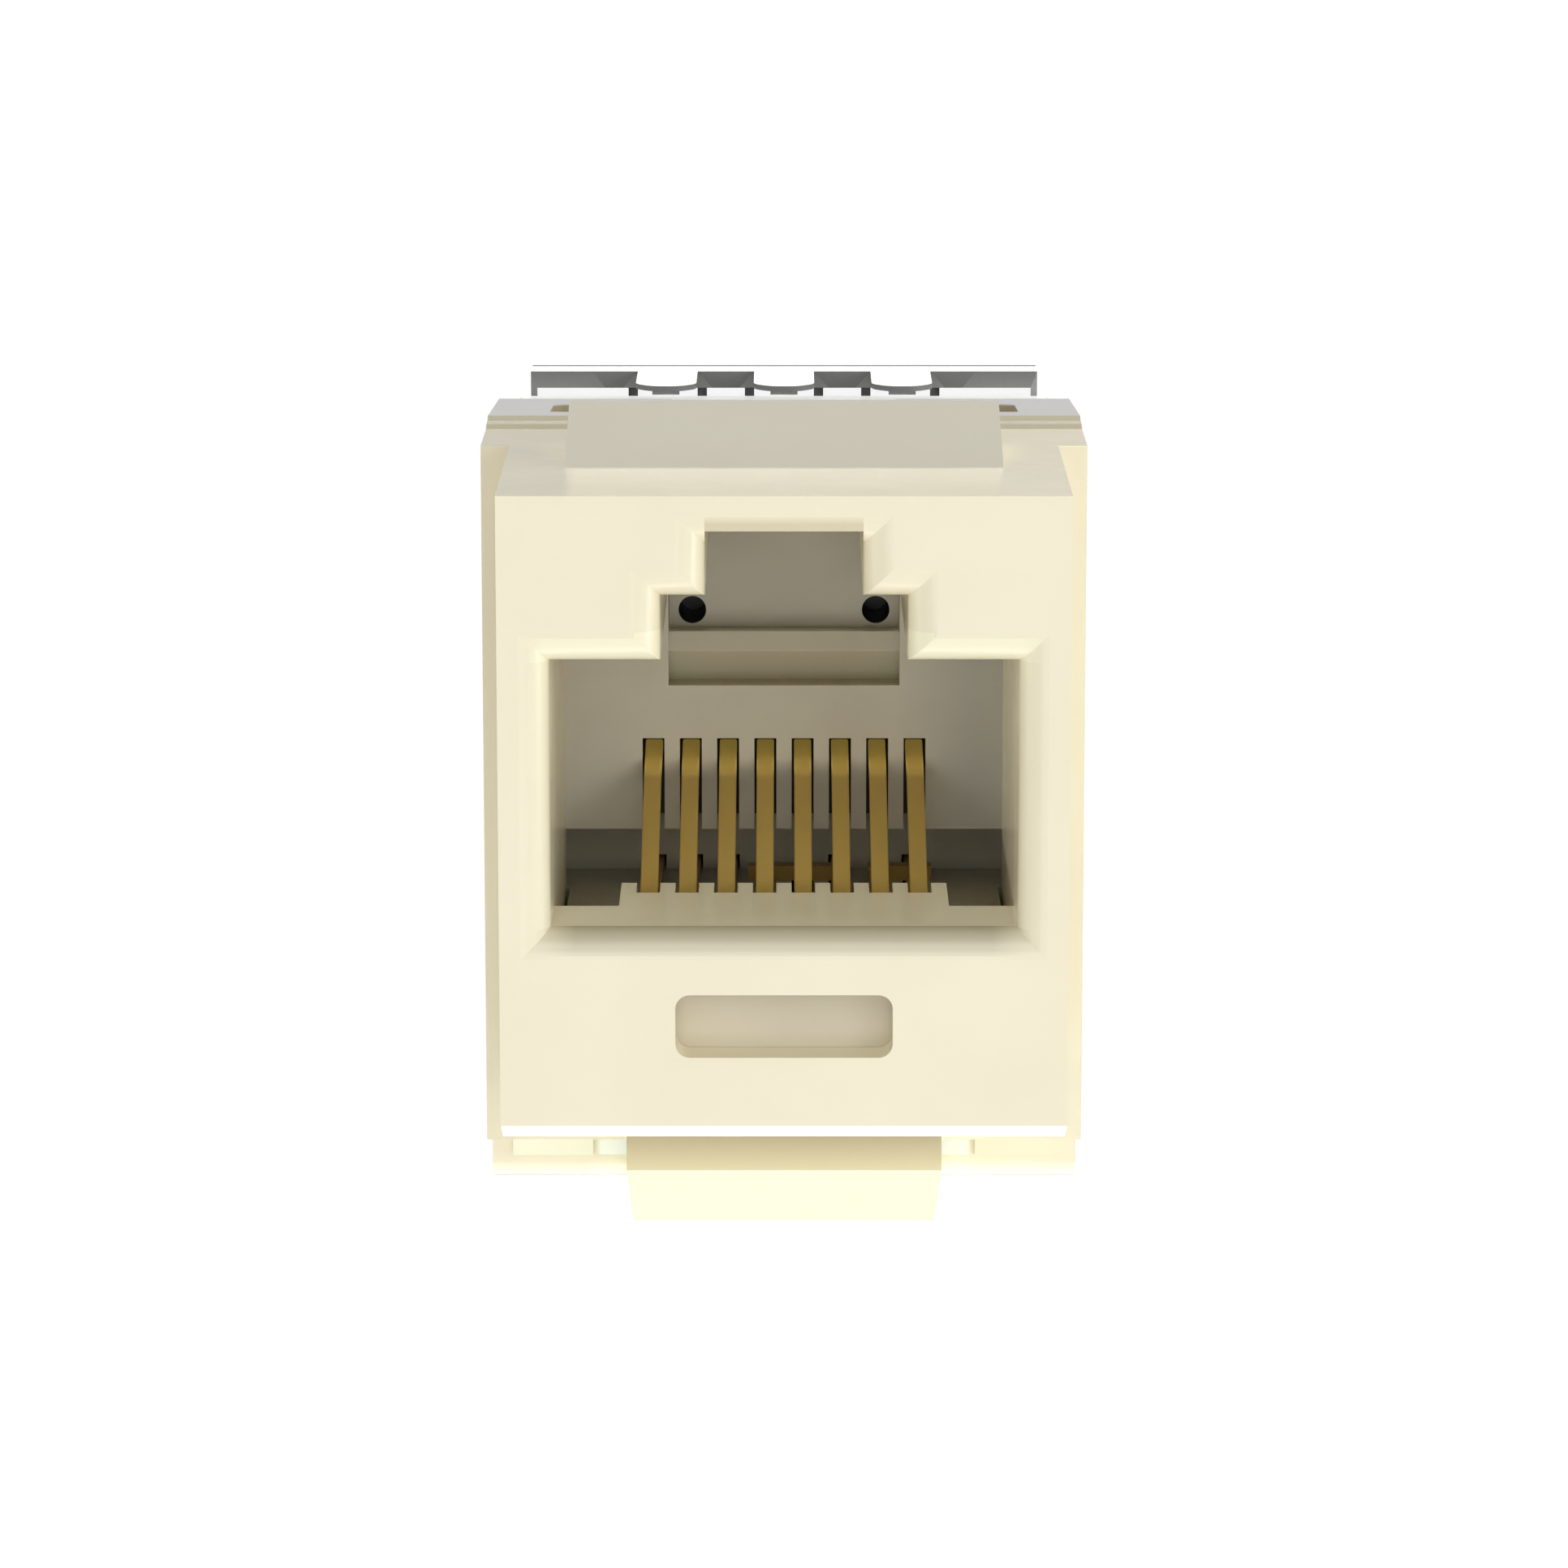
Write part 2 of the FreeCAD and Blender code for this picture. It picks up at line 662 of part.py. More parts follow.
def build_contact_spring(number):
    """A flat gold-plated strip with a hairpin under the comb and its tail in the board."""
    body = new_body("contact_spring_%d" % number, contact_across(number))
    tail_end = board_back - s.tail_short
    bridge_front = s.port_depth + s.seam_step
    bridge_back = bridge_front + s.bridge_length
    points = [(tail_end, leg_height)]
    radii = []
    if number in dropped:
        drop_start = s.port_depth - s.drop_lead
        points = [(tail_end, low_leg_height), (drop_start + s.drop_run, low_leg_height),
                  (drop_start, leg_height)]
        radii = [s.drop_radius, s.drop_radius]
    if number in bridged:
        points = [(bridge_back, leg_height)]
    points += [(s.lip_depth + s.hairpin_setback, leg_height), (s.port_depth - s.bend_lead, bend_height),
               (s.port_depth + s.tip_entry, tip_height)]
    radii += [s.hairpin_radius, s.bend_radius]
    start, height = points[0]
    section = new_sketch(body, "section", "XZ_Plane", start)
    half = s.contact_thick / 2
    draw_loop(section, centred_loop(s.contact_width, height - half, height + half))
    path = new_sketch(body, "bend_line", "YZ_Plane")
    draw_path(path, points, radii)
    strip = body.newObject("PartDesign::AdditivePipe", "strip")
    strip.Profile = section
    strip.Spine = (path, [])
    low, high = leg_height - half, leg_height + half
    if number in bridged:
        shift = tail_across(number) - contact_across(number)
        left, right = -s.contact_width / 2, shift + s.contact_width / 2
        if overhung[number] < 0:
            left = left - s.bridge_overhang
        else:
            right = right + s.bridge_overhang
        add_pad(body, "bridge", "XZ_Plane", [box_loop(left, right, low, low + s.bridge_thick)],
                bridge_front, bridge_back)
        add_pad(body, "tail", "XZ_Plane",
                [slot_loop(shift, s.contact_width, low, high)], bridge_back, tail_end)
    if number in barbed:
        barb_front = s.port_depth - s.barb_setback
        add_pad(body, "barb", "XZ_Plane", [slot_loop(0, s.barb_width, low, high)],
                barb_front, barb_front + s.barb_length)


def build_circuit_board():
    body = new_body("circuit_board")
    width = body_width - 2 * s.collar_wall - 2 * s.board_gap
    add_pad(body, "laminate", "XZ_Plane",
            [centred_loop(width, collar_floor + s.board_gap, inner_top - s.board_gap)],
            insert_back, board_back)
    holes = []
    for number in range(1, contact_count + 1):
        height = low_leg_height if number in dropped else leg_height
        holes.append(((tail_across(number), height), s.contact_hole / 2))
    for side in (-1, 1):
        for number in range(1, row_count + 1):
            centre = (side * terminal_place, row_height(number))
            holes.append((centre, s.terminal_hole / 2))
    cut_pocket(body, "plated_holes", "XZ_Plane", [], insert_back, board_back, holes)


def build_rear_housing():
    body = new_body("rear_housing")
    plate_rear = rim_top - s.plate_fall
    outer = [(seam_depth, -s.foot_drop), (tower_end, -s.foot_drop), (tower_end, tower_top),
             (collar_end, tower_top), (collar_end, plate_rear), (seam_depth, rim_top)]
    add_slab(body, "outer_block", [outer], body_width)
    dress_edges(body, "Fillet", "long_edges", s.edge_round,
                lambda box: near(abs(box.XMin), body_width / 2) and near(box.ZMax, box.ZMin)
                and box.YMax > collar_end.number + tolerance)
    cut_pocket(body, "collar_cavity", "XZ_Plane",
               [centred_loop(body_width - 2 * s.collar_wall, collar_floor, inner_top)],
               seam_depth, board_back)
    cut_pocket(body, "latch_clearance", "XZ_Plane",
               [box_loop(-channel_half, channel_half, -s.foot_drop, s.channel_depth - s.foot_drop)],
               seam_depth, collar_end)
    cut_pocket(body, "hook_windows", "XY_Plane", window_loops(), inner_top, rim_top)
    dress_edges(body, "Fillet", "window_corners", s.window_round,
                lambda box: near(abs(box.XMax), window_outer) and near(box.YMin, window_rear)
                and near(box.YMax, window_rear))
    low_inner = low_hook_inner - s.hook_margin
    low_windows = mirrored_loops(low_inner, low_inner + s.low_hook_width + 2 * s.hook_margin,
                                 window_front, window_rear)
    cut_pocket(body, "low_hook_windows", "XY_Plane", low_windows, -s.foot_drop, collar_floor)
    cut_pocket(body, "rear_notch", "XY_Plane",
               [centred_loop(s.rear_notch_width, collar_end - s.rear_notch_depth, collar_end)],
               tower_top, rim_top)
    cut_pocket(body, "cable_channel", "XZ_Plane",
               [centred_loop(s.channel_width, s.channel_wall - s.foot_drop, tower_top - s.channel_wall)],
               base_back, tower_end)
    sides = [side * terminal_place for side in (-1, 1)]
    rows = [row_height(number) for number in range(1, row_count + 1)]
    places = [(across, up) for across in sides for up in rows]
    half_thick = s.blade_thick / 2 + s.slip
    half_high = s.blade_height / 2 + s.slip
    cut_pocket(body, "blade_slits", "XZ_Plane",
               [box_loop(x - half_thick, x + half_thick, z - half_high, z + half_high) for x, z in places],
               base_back, tower_end)
    half_pin = s.pin_height / 2 + s.slip
    cut_pocket(body, "pin_holes", "XZ_Plane",
               [box_loop(x - half_thick, x + half_thick, z - half_pin, z + half_pin) for x, z in places],
               board_back, base_back)
    cut_across(body, "wire_slots", [wire_slot_profile(up) for up in rows], body_width)


def window_loops():
    right = [(window_inner, window_front), (window_outer, window_front), (window_outer, window_rear),
             (window_inner, window_rear + s.window_skew)]
    left = [(-across, depth) for across, depth in reversed(right)]
    return [left, right]


def wire_slot_profile(up):
    """Parallel slot that grips the insulation, with a flared mouth at the rear."""
    half, mouth = s.wire_gap / 2, s.mouth_gap / 2
    neck = tower_end - s.mouth_depth
    seat = tower_end - s.wire_slot_length
    return [(seat, up - half), (neck, up - half), (tower_end, up - mouth),
            (tower_end, up + mouth), (neck, up + half), (seat, up + half)]


def build_wire_terminal(name, across, up):
    """Forked blade that cuts into the wire, with a pin for the board."""
    body = new_body(name, across)
    pin, half, slit = s.pin_height / 2, s.blade_height / 2, s.blade_slit / 2
    mouth, tip = s.blade_mouth / 2, s.blade_tip_height / 2
    pin_end = insert_back + s.tail_short
    end = tower_end - s.blade_setback
    upper = [(end - s.blade_slit_length, slit), (end - s.blade_mouth_depth, slit), (end, mouth),
             (end, tip), (end - s.blade_taper, half), (base_back, half), (base_back, pin), (pin_end, pin)]
    lower = [(depth, -height) for depth, height in reversed(upper)]
    outline = [(depth, up + height) for depth, height in upper + lower]
    add_slab(body, "blade", [outline], s.blade_thick)


def build_clear_cap():
    body = new_body("clear_cap")
    cap_front = tower_end + s.cap_seat
    cap_back = cap_front + s.cap_thick
    half_width = body_width / 2 - s.cap_inset
    cap_low = s.cap_inset - s.foot_drop
    cap_top = tower_top + s.cap_rise
    add_pad(body, "cover_plate", "XZ_Plane", [box_loop(-half_width, half_width, cap_low, cap_top)],
            cap_front, cap_back)
    bevel_low = cap_top - s.bevel_top
    bevel_back = cap_front + s.bevel_depth
    cut_across(body, "top_bevel", [[(cap_front, bevel_low), (bevel_back, cap_top), (cap_front, cap_top)]],
               2 * half_width)
    bevel_inner = half_width - s.bevel_side
    cut_pocket(body, "side_bevels", "XY_Plane",
               [[(side * bevel_inner, cap_front), (side * half_width, bevel_back),
                 (side * half_width, cap_front)] for side in (-1, 1)], cap_low, cap_top)
    middles = [s.tab_pitch * (number - (tab_count + 1) / 2) for number in range(1, tab_count + 1)]
    add_pad(body, "top_tabs", "XY_Plane", [tab_loop(middle, cap_back) for middle in middles],
            cap_top - s.tab_thick, cap_top)
    tip = tower_end - s.tab_reach
    crown_end = (tip + s.tab_crown).number + tolerance
    dress_edges(body, "Fillet", "tab_rounds", s.tab_round,
                lambda box: near(box.ZMax, cap_top) and near(box.ZMin, cap_top - s.tab_thick)
                and near(box.XMin, box.XMax) and near(box.YMin, box.YMax) and box.YMax < crown_end)
    half_nose = s.nose_width / 2
    nose_front = tip + s.nose_setback
    add_pad(body, "tab_noses", "XY_Plane",
            [box_loop(middle - half_nose, middle + half_nose, nose_front, nose_front + s.nose_length)
             for middle in middles],
            cap_top - s.nose_thick, cap_top - s.tab_thick)
    reliefs = []
    for middle in middles:
        for side in (-1, 1):
            inner = middle + side * s.tab_width / 2
            outer = inner + side * s.relief_width
            reliefs.append(box_loop(inner, outer, cap_front, cap_front + s.relief_depth))
    cut_pocket(body, "tab_reliefs", "XY_Plane", reliefs, bevel_low - s.relief_length, bevel_low)
    peg_width = s.channel_width - 2 * s.slip
    pegs = []
    for side in (-1, 1):
        middle = row_middle + side * s.peg_pitch / 2
        pegs.append(centred_loop(peg_width, middle - s.peg_height / 2, middle + s.peg_height / 2))
    add_pad(body, "channel_pegs", "XZ_Plane", pegs, tower_end - s.peg_reach, cap_front)


def tab_loop(middle, back):
    """A tab seen from above: straight sides and a front crowned by two slanting stretches."""
    half, half_nose = s.tab_width / 2, s.nose_width / 2
    tip = tower_end - s.tab_reach
    side_front = tip + s.tab_crown
    return [(middle - half, back), (middle - half, side_front), (middle - half_nose, tip),
            (middle + half_nose, tip), (middle + half, side_front), (middle + half, back)]


build_front_housing()
build_contact_carrier()
for number in range(1, contact_count + 1):
    build_contact_spring(number)
build_circuit_board()
build_rear_housing()
for side, side_name in ((-1, "left"), (1, "right")):
    for number in range(1, row_count + 1):
        build_wire_terminal("wire_terminal_%s_%d" % (side_name, number),
                            side * terminal_place, row_height(number))
build_clear_cap()
doc.recompute()

for part in doc.Objects:
    if "Invalid" in part.State or "Error" in part.State:
        raise RuntimeError("%s failed: %s" % (part.Label, part.State))
for cut in cuts:
    base = cut.BaseFeature.Shape.Volume
    if cut.Shape.Volume > base - smallest_cut:
        raise RuntimeError(cut.Label + " removes nothing")
for body in bodies:
    shape = body.Shape
    if shape.isNull() or not shape.isValid() or len(shape.Solids) != 1:
        raise RuntimeError(body.Label + " is not one valid solid")
    box = shape.BoundBox
    print("%-24s %9.3f mm3  x %6.2f %6.2f  y %6.2f %6.2f  z %6.2f %6.2f" % (
        body.Label, shape.Volume, box.XMin, box.XMax, box.YMin, box.YMax, box.ZMin, box.ZMax))
    shape.exportStep("parts/%s.step" % body.Label)
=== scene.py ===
import json
import math
import bpy
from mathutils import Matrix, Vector


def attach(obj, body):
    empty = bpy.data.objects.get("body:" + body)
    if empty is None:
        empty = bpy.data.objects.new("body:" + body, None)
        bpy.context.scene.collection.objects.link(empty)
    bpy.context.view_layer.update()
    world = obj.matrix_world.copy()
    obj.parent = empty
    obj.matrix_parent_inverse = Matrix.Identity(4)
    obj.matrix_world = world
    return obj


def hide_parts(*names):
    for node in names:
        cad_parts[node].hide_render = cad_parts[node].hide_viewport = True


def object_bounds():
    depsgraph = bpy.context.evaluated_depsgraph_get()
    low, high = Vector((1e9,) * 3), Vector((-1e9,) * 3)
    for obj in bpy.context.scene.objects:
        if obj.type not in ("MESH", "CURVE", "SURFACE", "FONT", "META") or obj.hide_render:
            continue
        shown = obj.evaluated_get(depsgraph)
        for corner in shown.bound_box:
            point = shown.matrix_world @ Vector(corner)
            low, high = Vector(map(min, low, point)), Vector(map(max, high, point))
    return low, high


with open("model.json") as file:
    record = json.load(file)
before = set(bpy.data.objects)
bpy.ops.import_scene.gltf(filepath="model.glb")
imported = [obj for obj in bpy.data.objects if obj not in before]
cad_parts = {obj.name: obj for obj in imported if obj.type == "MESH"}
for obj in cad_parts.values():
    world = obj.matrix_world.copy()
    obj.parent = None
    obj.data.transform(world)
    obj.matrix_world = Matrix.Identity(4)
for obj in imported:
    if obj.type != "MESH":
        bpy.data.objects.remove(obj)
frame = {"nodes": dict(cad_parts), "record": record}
cadLow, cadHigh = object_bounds()
nodes = frame["nodes"]
mm = 0.001
print("frame loaded, nodes:", len(nodes))


class Value:
    # one socket of a node tree; sums written on it become Math nodes
    def __init__(self, tree, socket):
        self.tree = tree
        self.socket = socket

    def __add__(self, other):
        return self.tree.sum("ADD", self, other)

    def __radd__(self, other):
        return self.tree.sum("ADD", other, self)

    def __sub__(self, other):
        return self.tree.sum("SUBTRACT", self, other)

    def __rsub__(self, other):
        return self.tree.sum("SUBTRACT", other, self)

    def __mul__(self, other):
        return self.tree.sum("MULTIPLY", self, other)

    def __rmul__(self, other):
        return self.tree.sum("MULTIPLY", other, self)

    def __gt__(self, other):
        return self.tree.sum("GREATER_THAN", self, other)

    def __lt__(self, other):
        return self.tree.sum("LESS_THAN", self, other)

    def between(self, low, high):
        return (self > low) * (self < high)


class Tree:
    # a shader or geometry tree under construction
    def __init__(self, nodeTree):
        self.nodeTree = nodeTree

    def add(self, kind, settings=None, sockets=None, output=0):
        node = self.nodeTree.nodes.new(kind)
        for name, value in (settings or {}).items():
            setattr(node, name, value)
        for name, value in (sockets or {}).items():
            self.feed(node.inputs[name], value)
        if not node.outputs:
            return node
        return Value(self, node.outputs[output])

    def feed(self, socket, value):
        if isinstance(value, Value):
            self.nodeTree.links.new(value.socket, socket)
        else:
            socket.default_value = value

    def sum(self, operation, first, second):
        return self.add("ShaderNodeMath", {"operation": operation}, {0: first, 1: second})


class Finish(Tree):
    # a material whose last shader is given by wear()
    def __init__(self, name):
        self.material = bpy.data.materials.new(name)
        self.material.use_nodes = True
        super().__init__(self.material.node_tree)
        self.nodeTree.nodes.clear()
        self.place = self.add("ShaderNodeTexCoord", output="Object")

    def noise(self, size, detail=3.0, roughness=0.5, stretch=(1.0, 1.0, 1.0)):
        # size is that of one patch, in metres
        place = self.place
        if stretch != (1.0, 1.0, 1.0):
            place = self.add("ShaderNodeMapping", {}, {"Vector": self.place, "Scale": stretch})
        settings = {"noise_dimensions": "3D", "normalize": True}
        sockets = {"Vector": place, "Scale": 1.0 / size, "Detail": detail, "Roughness": roughness}
        return self.add("ShaderNodeTexNoise", settings, sockets, output="Fac")

    def blend(self, share, first, second):
        # share 0 gives the first colour, 1 the second
        sockets = {"Factor": share, 6: first, 7: second}
        return self.add("ShaderNodeMix", {"data_type": "RGBA"}, sockets, output=2)

    def range(self, value, fromLow, fromHigh, toLow, toHigh):
        sockets = {"Value": value, "From Min": fromLow, "From Max": fromHigh,
                   "To Min": toLow, "To Max": toHigh}
        return self.add("ShaderNodeMapRange", {"clamp": True}, sockets)

    def cloud(self, size, low, high, detail=3.0, roughness=0.5):
        # noise hardly leaves 0.35 to 0.65, which is spread here over low to high
        return self.range(self.noise(size, detail, roughness), 0.35, 0.65, low, high)

    def bump(self, height, distance, below=None):
        sockets = {"Height": height, "Distance": distance}
        if below is not None:
            sockets["Normal"] = below
        return self.add("ShaderNodeBump", {}, sockets)

    def axes(self):
        parts = self.add("ShaderNodeSeparateXYZ", {}, {"Vector": self.place}).socket.node.outputs
        return [Value(self, parts[name]) for name in "XYZ"]

    def principled(self, sockets):
        return self.add("ShaderNodeBsdfPrincipled", {}, sockets)

    def wear(self, shader):
        self.add("ShaderNodeOutputMaterial", {}, {"Surface": shader})
        return self.material


def tint(red, green, blue):
    # a colour as seen, 0 to 255, turned into the linear values that a shader takes
    linear = []
    for value in (red, green, blue):
        share = value / 255
        linear.append(share / 12.92 if share <= 0.04045 else ((share + 0.055) / 1.055) ** 2.4)
    return (*linear, 1.0)


dark = (0.0, 0.0, 0.0, 1.0)
paper = (1.0, 1.0, 1.0, 1.0)
sharpFade = 0.002  # mm over which a spot without a fade of its own ends sideways

# a look's painted light and shade lie in boxes, in mm, as a tone or a glow: one colour, or two that run
# with height; they stand for light that the lamps can't throw as the photograph's do
ivory = {
    "colour": tint(245, 238, 211),
    "deepColour": tint(243, 235, 208),
    "patch": 4.0 * mm,
    "dullPatch": 2.4 * mm,
    "grain": 0.045 * mm,
    "grainHeight": 0.0006 * mm,
    "grainGloss": 0.03,
    "wave": 2.6 * mm,
    "waveHeight": 0.0002 * mm,
    "gloss": (0.17, 0.22),
    "ior": 1.45,
    "paintedLightAndShade": {
        # painted light: the flat top face tinted warmer
        "topFace": {"across": (-8.1, 8.1), "along": (0.02, 13.2), "up": (7.71, 7.735),
                    "tone": tint(249, 238, 196)},
        # painted light: the top's right side lighter and glowing faintly
        "topRight": {"across": (4.6, 9.1), "along": (0.02, 13.2), "up": (7.71, 7.735), "fade": 1.0,
                     "tone": tint(255, 250, 210), "glow": (0.06, 0.035, 0.02, 1.0)},
        # painted shade: the rim at the top's rear a little darker
        "rim": {"across": (-8.1, 8.1), "along": (11.0, 13.2), "up": (7.735, 7.95),
                "tone": tint(238, 227, 188)},
        # painted reflection: a brighter strip before the lug, glowing faintly
        "beforeLug": {"across": (-5.62, 5.62), "along": (0.02, 4.58), "up": (7.71, 7.74), "fade": 0.3,
                      "tone": tint(255, 252, 208), "glow": (0.05, 0.018, 0.0, 1.0)},
        # painted shade: the icon recess's back darker, most towards its top
        "iconBack": {"across": (-2.85, 2.85), "along": (1.12, 1.3), "up": (-6.9, -5.0),
                     "tone": (tint(220, 211, 190), tint(206, 199, 178)), "rise": (-6.7, -5.4)},
        # painted shadow: the latch's front darker towards the block above it
        "latchRoot": {"across": (-4.3, 4.3), "along": (6.5, 6.7), "up": (-11.6, -9.1),
                      "tone": (tint(222, 211, 172), tint(176, 164, 128)), "rise": (-11.5, -10.4)},
        # painted light: the latch's underside lighter
        "latchUnder": {"across": (-4.3, 4.3), "along": (6.7, 14.0), "up": (-14.9, -9.1),
                       "tone": tint(252, 252, 220)},
        # painted light: the chamfer under the front whitened and glowing
        "chamfer": {"across": (-7.24, 7.24), "along": (0.01, 1.26), "up": (-9.16, -8.552),
                    "tone": tint(250, 249, 246), "glow": (0.1, 0.12, 0.22, 1.0)},
        # painted shade: the sill's round darker towards the tongue
        "sill": {"across": (-6.3, 6.3), "along": (0.01, 0.76), "up": (-4.2, -3.455), "fade": 1.0,
                 "tone": (tint(242, 235, 209), tint(190, 183, 157)), "rise": (-4.2, -3.46)},
        # painted light: a faint glow on the port's floor
        "portFloor": {"across": (-6.0, 6.0), "along": (0.76, 5.82), "up": (-3.46, -3.44), "fade": 0.3,
                      "glow": (0.031, 0.032, 0.028, 1.0)},
        # painted light: a faint glow on the port's ceiling round
        "portCeiling": {"across": (-6.6, 6.6), "along": (0.01, 0.76), "up": (3.46, 4.25), "fade": 0.6,
                        "glow": (0.05, 0.06, 0.04, 1.0)},
        # painted shade: the notch roof darker towards its lower edge
        "notchRoof": {"across": (-2.0, 2.0), "along": (0.001, 0.13), "up": (6.81, 7.2),
                      "tone": (tint(218, 208, 180), tint(238, 230, 202)), "rise": (7.0, 7.18)},
        # painted light: a faint glow on the port's right wall
        "portRight": {"across": (5.9, 6.0), "along": (0.75, 12.3), "up": (-3.46, 3.46),
                      "glow": (0.062, 0.056, 0.042, 1.0)},
        # painted shade: the left wing's front darker, most towards its top
        "wingLeft": {"across": (-8.1, -7.26), "along": (8.6, 8.8), "up": (-11.2, 7.9),
                     "tone": (tint(240, 232, 204), tint(232, 223, 196)), "rise": (-5.0, 3.0)},
        # painted light: a glow on the left pad's front
        "padLeft": {"across": (-8.1, 0.0), "along": (11.5, 11.6), "up": (-12.4, -11.1),
                    "glow": (0.044, 0.094, 0.104, 1.0)},
        # painted light: a glow on the foot's front beside the latch
        "footFront": {"across": (-5.2, 5.2), "along": (11.7, 12.4), "up": (-12.4, -8.6), "fade": 0.2,
                      "glow": (0.16, 0.24, 0.29, 1.0)},
        # painted light: a glow low on the foot's front
        "footLow": {"across": (-5.5, 5.5), "along": (11.7, 12.4), "up": (-13.3, -12.4), "fade": 0.8,
                    "glow": (0.1, 0.1, 0.07, 1.0)},
    },
}
carrier = {
    "colour": tint(214, 209, 193),
    "deepColour": tint(210, 204, 188),
    "patch": 2.2 * mm,
    "dullPatch": 1.32 * mm,
    "grain": 0.05 * mm,
    "grainHeight": 0.0012 * mm,
    "grainGloss": 0.03,
    "wave": 1.3 * mm,
    "waveHeight": 0.0004 * mm,
    "gloss": (0.36, 0.44),
    "ior": 1.45,
    "paintedLightAndShade": {
        # painted shade: the carrier low in the port darker, most at the bottom
        "portFoot": {"across": (-7.0, 7.0), "along": (5.0, 17.0), "up": (-8.0, -3.352),
                     "tone": (tint(174, 170, 155), tint(198, 194, 176)), "rise": (-5.0, -4.6)},
        # painted shade: the contact slots' insides near black
        "contactSlots": {"across": (-3.95, 3.95), "along": (12.32, 17.0), "up": (-3.36, -0.8),
                         "tone": tint(60, 58, 52)},
        # painted shade: the back wall's right side darker and greyer
        "wallRight": {"across": (3.0, 7.2), "along": (12.2, 12.4), "up": (-3.3, 5.2), "fade": 2.0,
                      "tone": tint(197, 196, 188)},
        # painted shade: the gauge holes' walls near black
        "gaugeHoles": {"across": (-3.2, 3.2), "along": (14.32, 16.7), "up": (0.5, 3.5),
                       "tone": (tint(38, 38, 36), tint(30, 30, 29))},
        # painted light: the ridge's upper slope lighter
        "ridgeTop": {"across": (-3.2, 3.2), "along": (12.6, 13.3), "up": (1.5, 2.0),
                     "tone": (tint(236, 231, 218), tint(240, 235, 222))},
        # painted shade: the ridge's lower face darker, most at its foot
        "ridgeFoot": {"across": (-3.2, 3.2), "along": (12.6, 13.3), "up": (0.6, 1.5),
                      "tone": (tint(188, 181, 156), tint(212, 206, 182))},
    },
}
white = {
    "colour": tint(238, 238, 237),
    "deepColour": tint(235, 235, 234),
    "patch": 3.0 * mm,
    "dullPatch": 1.8 * mm,
    "grain": 0.045 * mm,
    "grainHeight": 0.0001 * mm,
    "grainGloss": 0.01,
    "wave": 2.2 * mm,
    "waveHeight": 0.00003 * mm,
    "gloss": (0.33, 0.345),
    "ior": 1.45,
    "paintedLightAndShade": {
        # the last stretch of the towers' top, lit through the cap
        "towerEnd": {"across": (-8.1, 8.1), "along": (30.2, 31.6), "up": (5.9, 6.4),
                     "glow": (0.50, 0.51, 0.47, 1.0)},
    },
}
# the windows in the top plate, whose walls are painted a dark ivory, which is painted shade; the plate
# falls towards the rear
windowShade = {
    "colour": tint(196, 186, 152),
    "half": 6.6 * mm,
    "front": 14.3 * mm,
    "rear": 18.7 * mm,
    "low": 5.0 * mm,
    "plateTop": 8.876 * mm,
    "plateFall": 0.0743,
}


def shade(finish, up, spot, colours):
    # a single colour has four numbers; a pair runs up the spot, or over its rise
    if len(colours) == 4:
        return colours
    low, high = spot.get("rise", spot["up"])
    return finish.blend(finish.range(up, low * mm, high * mm, 0.0, 1.0), *colours)


def withPaintedLight(finish, colour, paintedLightAndShade):
    # the colour and the glow with the boxes of painted light and shade laid over them
    across, along, up = finish.axes()
    glow = dark
    for spot in paintedLightAndShade.values():
        low, high = spot["across"]
        fade = spot.get("fade", sharpFade)
        inside = finish.range(across, low * mm, (low + fade) * mm, 0.0, 1.0)
        inside = inside * finish.range(across, (high - fade) * mm, high * mm, 1.0, 0.0)
        for value, (low, high) in ((along, spot["along"]), (up, spot["up"])):
            inside = inside * value.between(low * mm, high * mm)
        if "tone" in spot:
            colour = finish.blend(inside, colour, shade(finish, up, spot, spot["tone"]))
        if "glow" in spot:
            glow = finish.blend(inside, glow, shade(finish, up, spot, spot["glow"]))
    return {"Base Color": colour, "Emission Color": glow, "Emission Strength": 1.0}


def mouldedPlastic(name, look, window=None):
    # an even colour with a faint cloud in it, spark-eroded grain and a very slight waviness; painted
    # light and shade lie over it in boxes, and painted shade on the windows' walls
    finish = Finish(name)
    cloud = finish.cloud(look["patch"], 0.0, 1.0, detail=2.0)
    grain = finish.noise(look["grain"], detail=2.0, roughness=0.6)
    wave = finish.noise(look["wave"], detail=1.0)
    colour = finish.blend(cloud, look["colour"], look["deepColour"])
    # painted shade: the windows' walls take a darker ivory
    if window:
        across, along, up = finish.axes()
        inside = across.between(-window["half"], window["half"])
        inside = inside * along.between(window["front"], window["rear"])
        inside = inside * (up > window["low"]) * (up + along * window["plateFall"] < window["plateTop"])
        colour = finish.blend(inside, colour, window["colour"])
    dull = finish.cloud(look["dullPatch"], *look["gloss"], detail=4.0, roughness=0.65)
    dull = dull + (grain - 0.5) * look["grainGloss"]
    normal = finish.bump(wave, look["waveHeight"])
    normal = finish.bump(grain, look["grainHeight"], below=normal)
    sockets = {"Roughness": dull, "IOR": look["ior"], "Normal": normal}
    return finish.wear(finish.principled({**withPaintedLight(finish, colour, look["paintedLightAndShade"]), **sockets}))


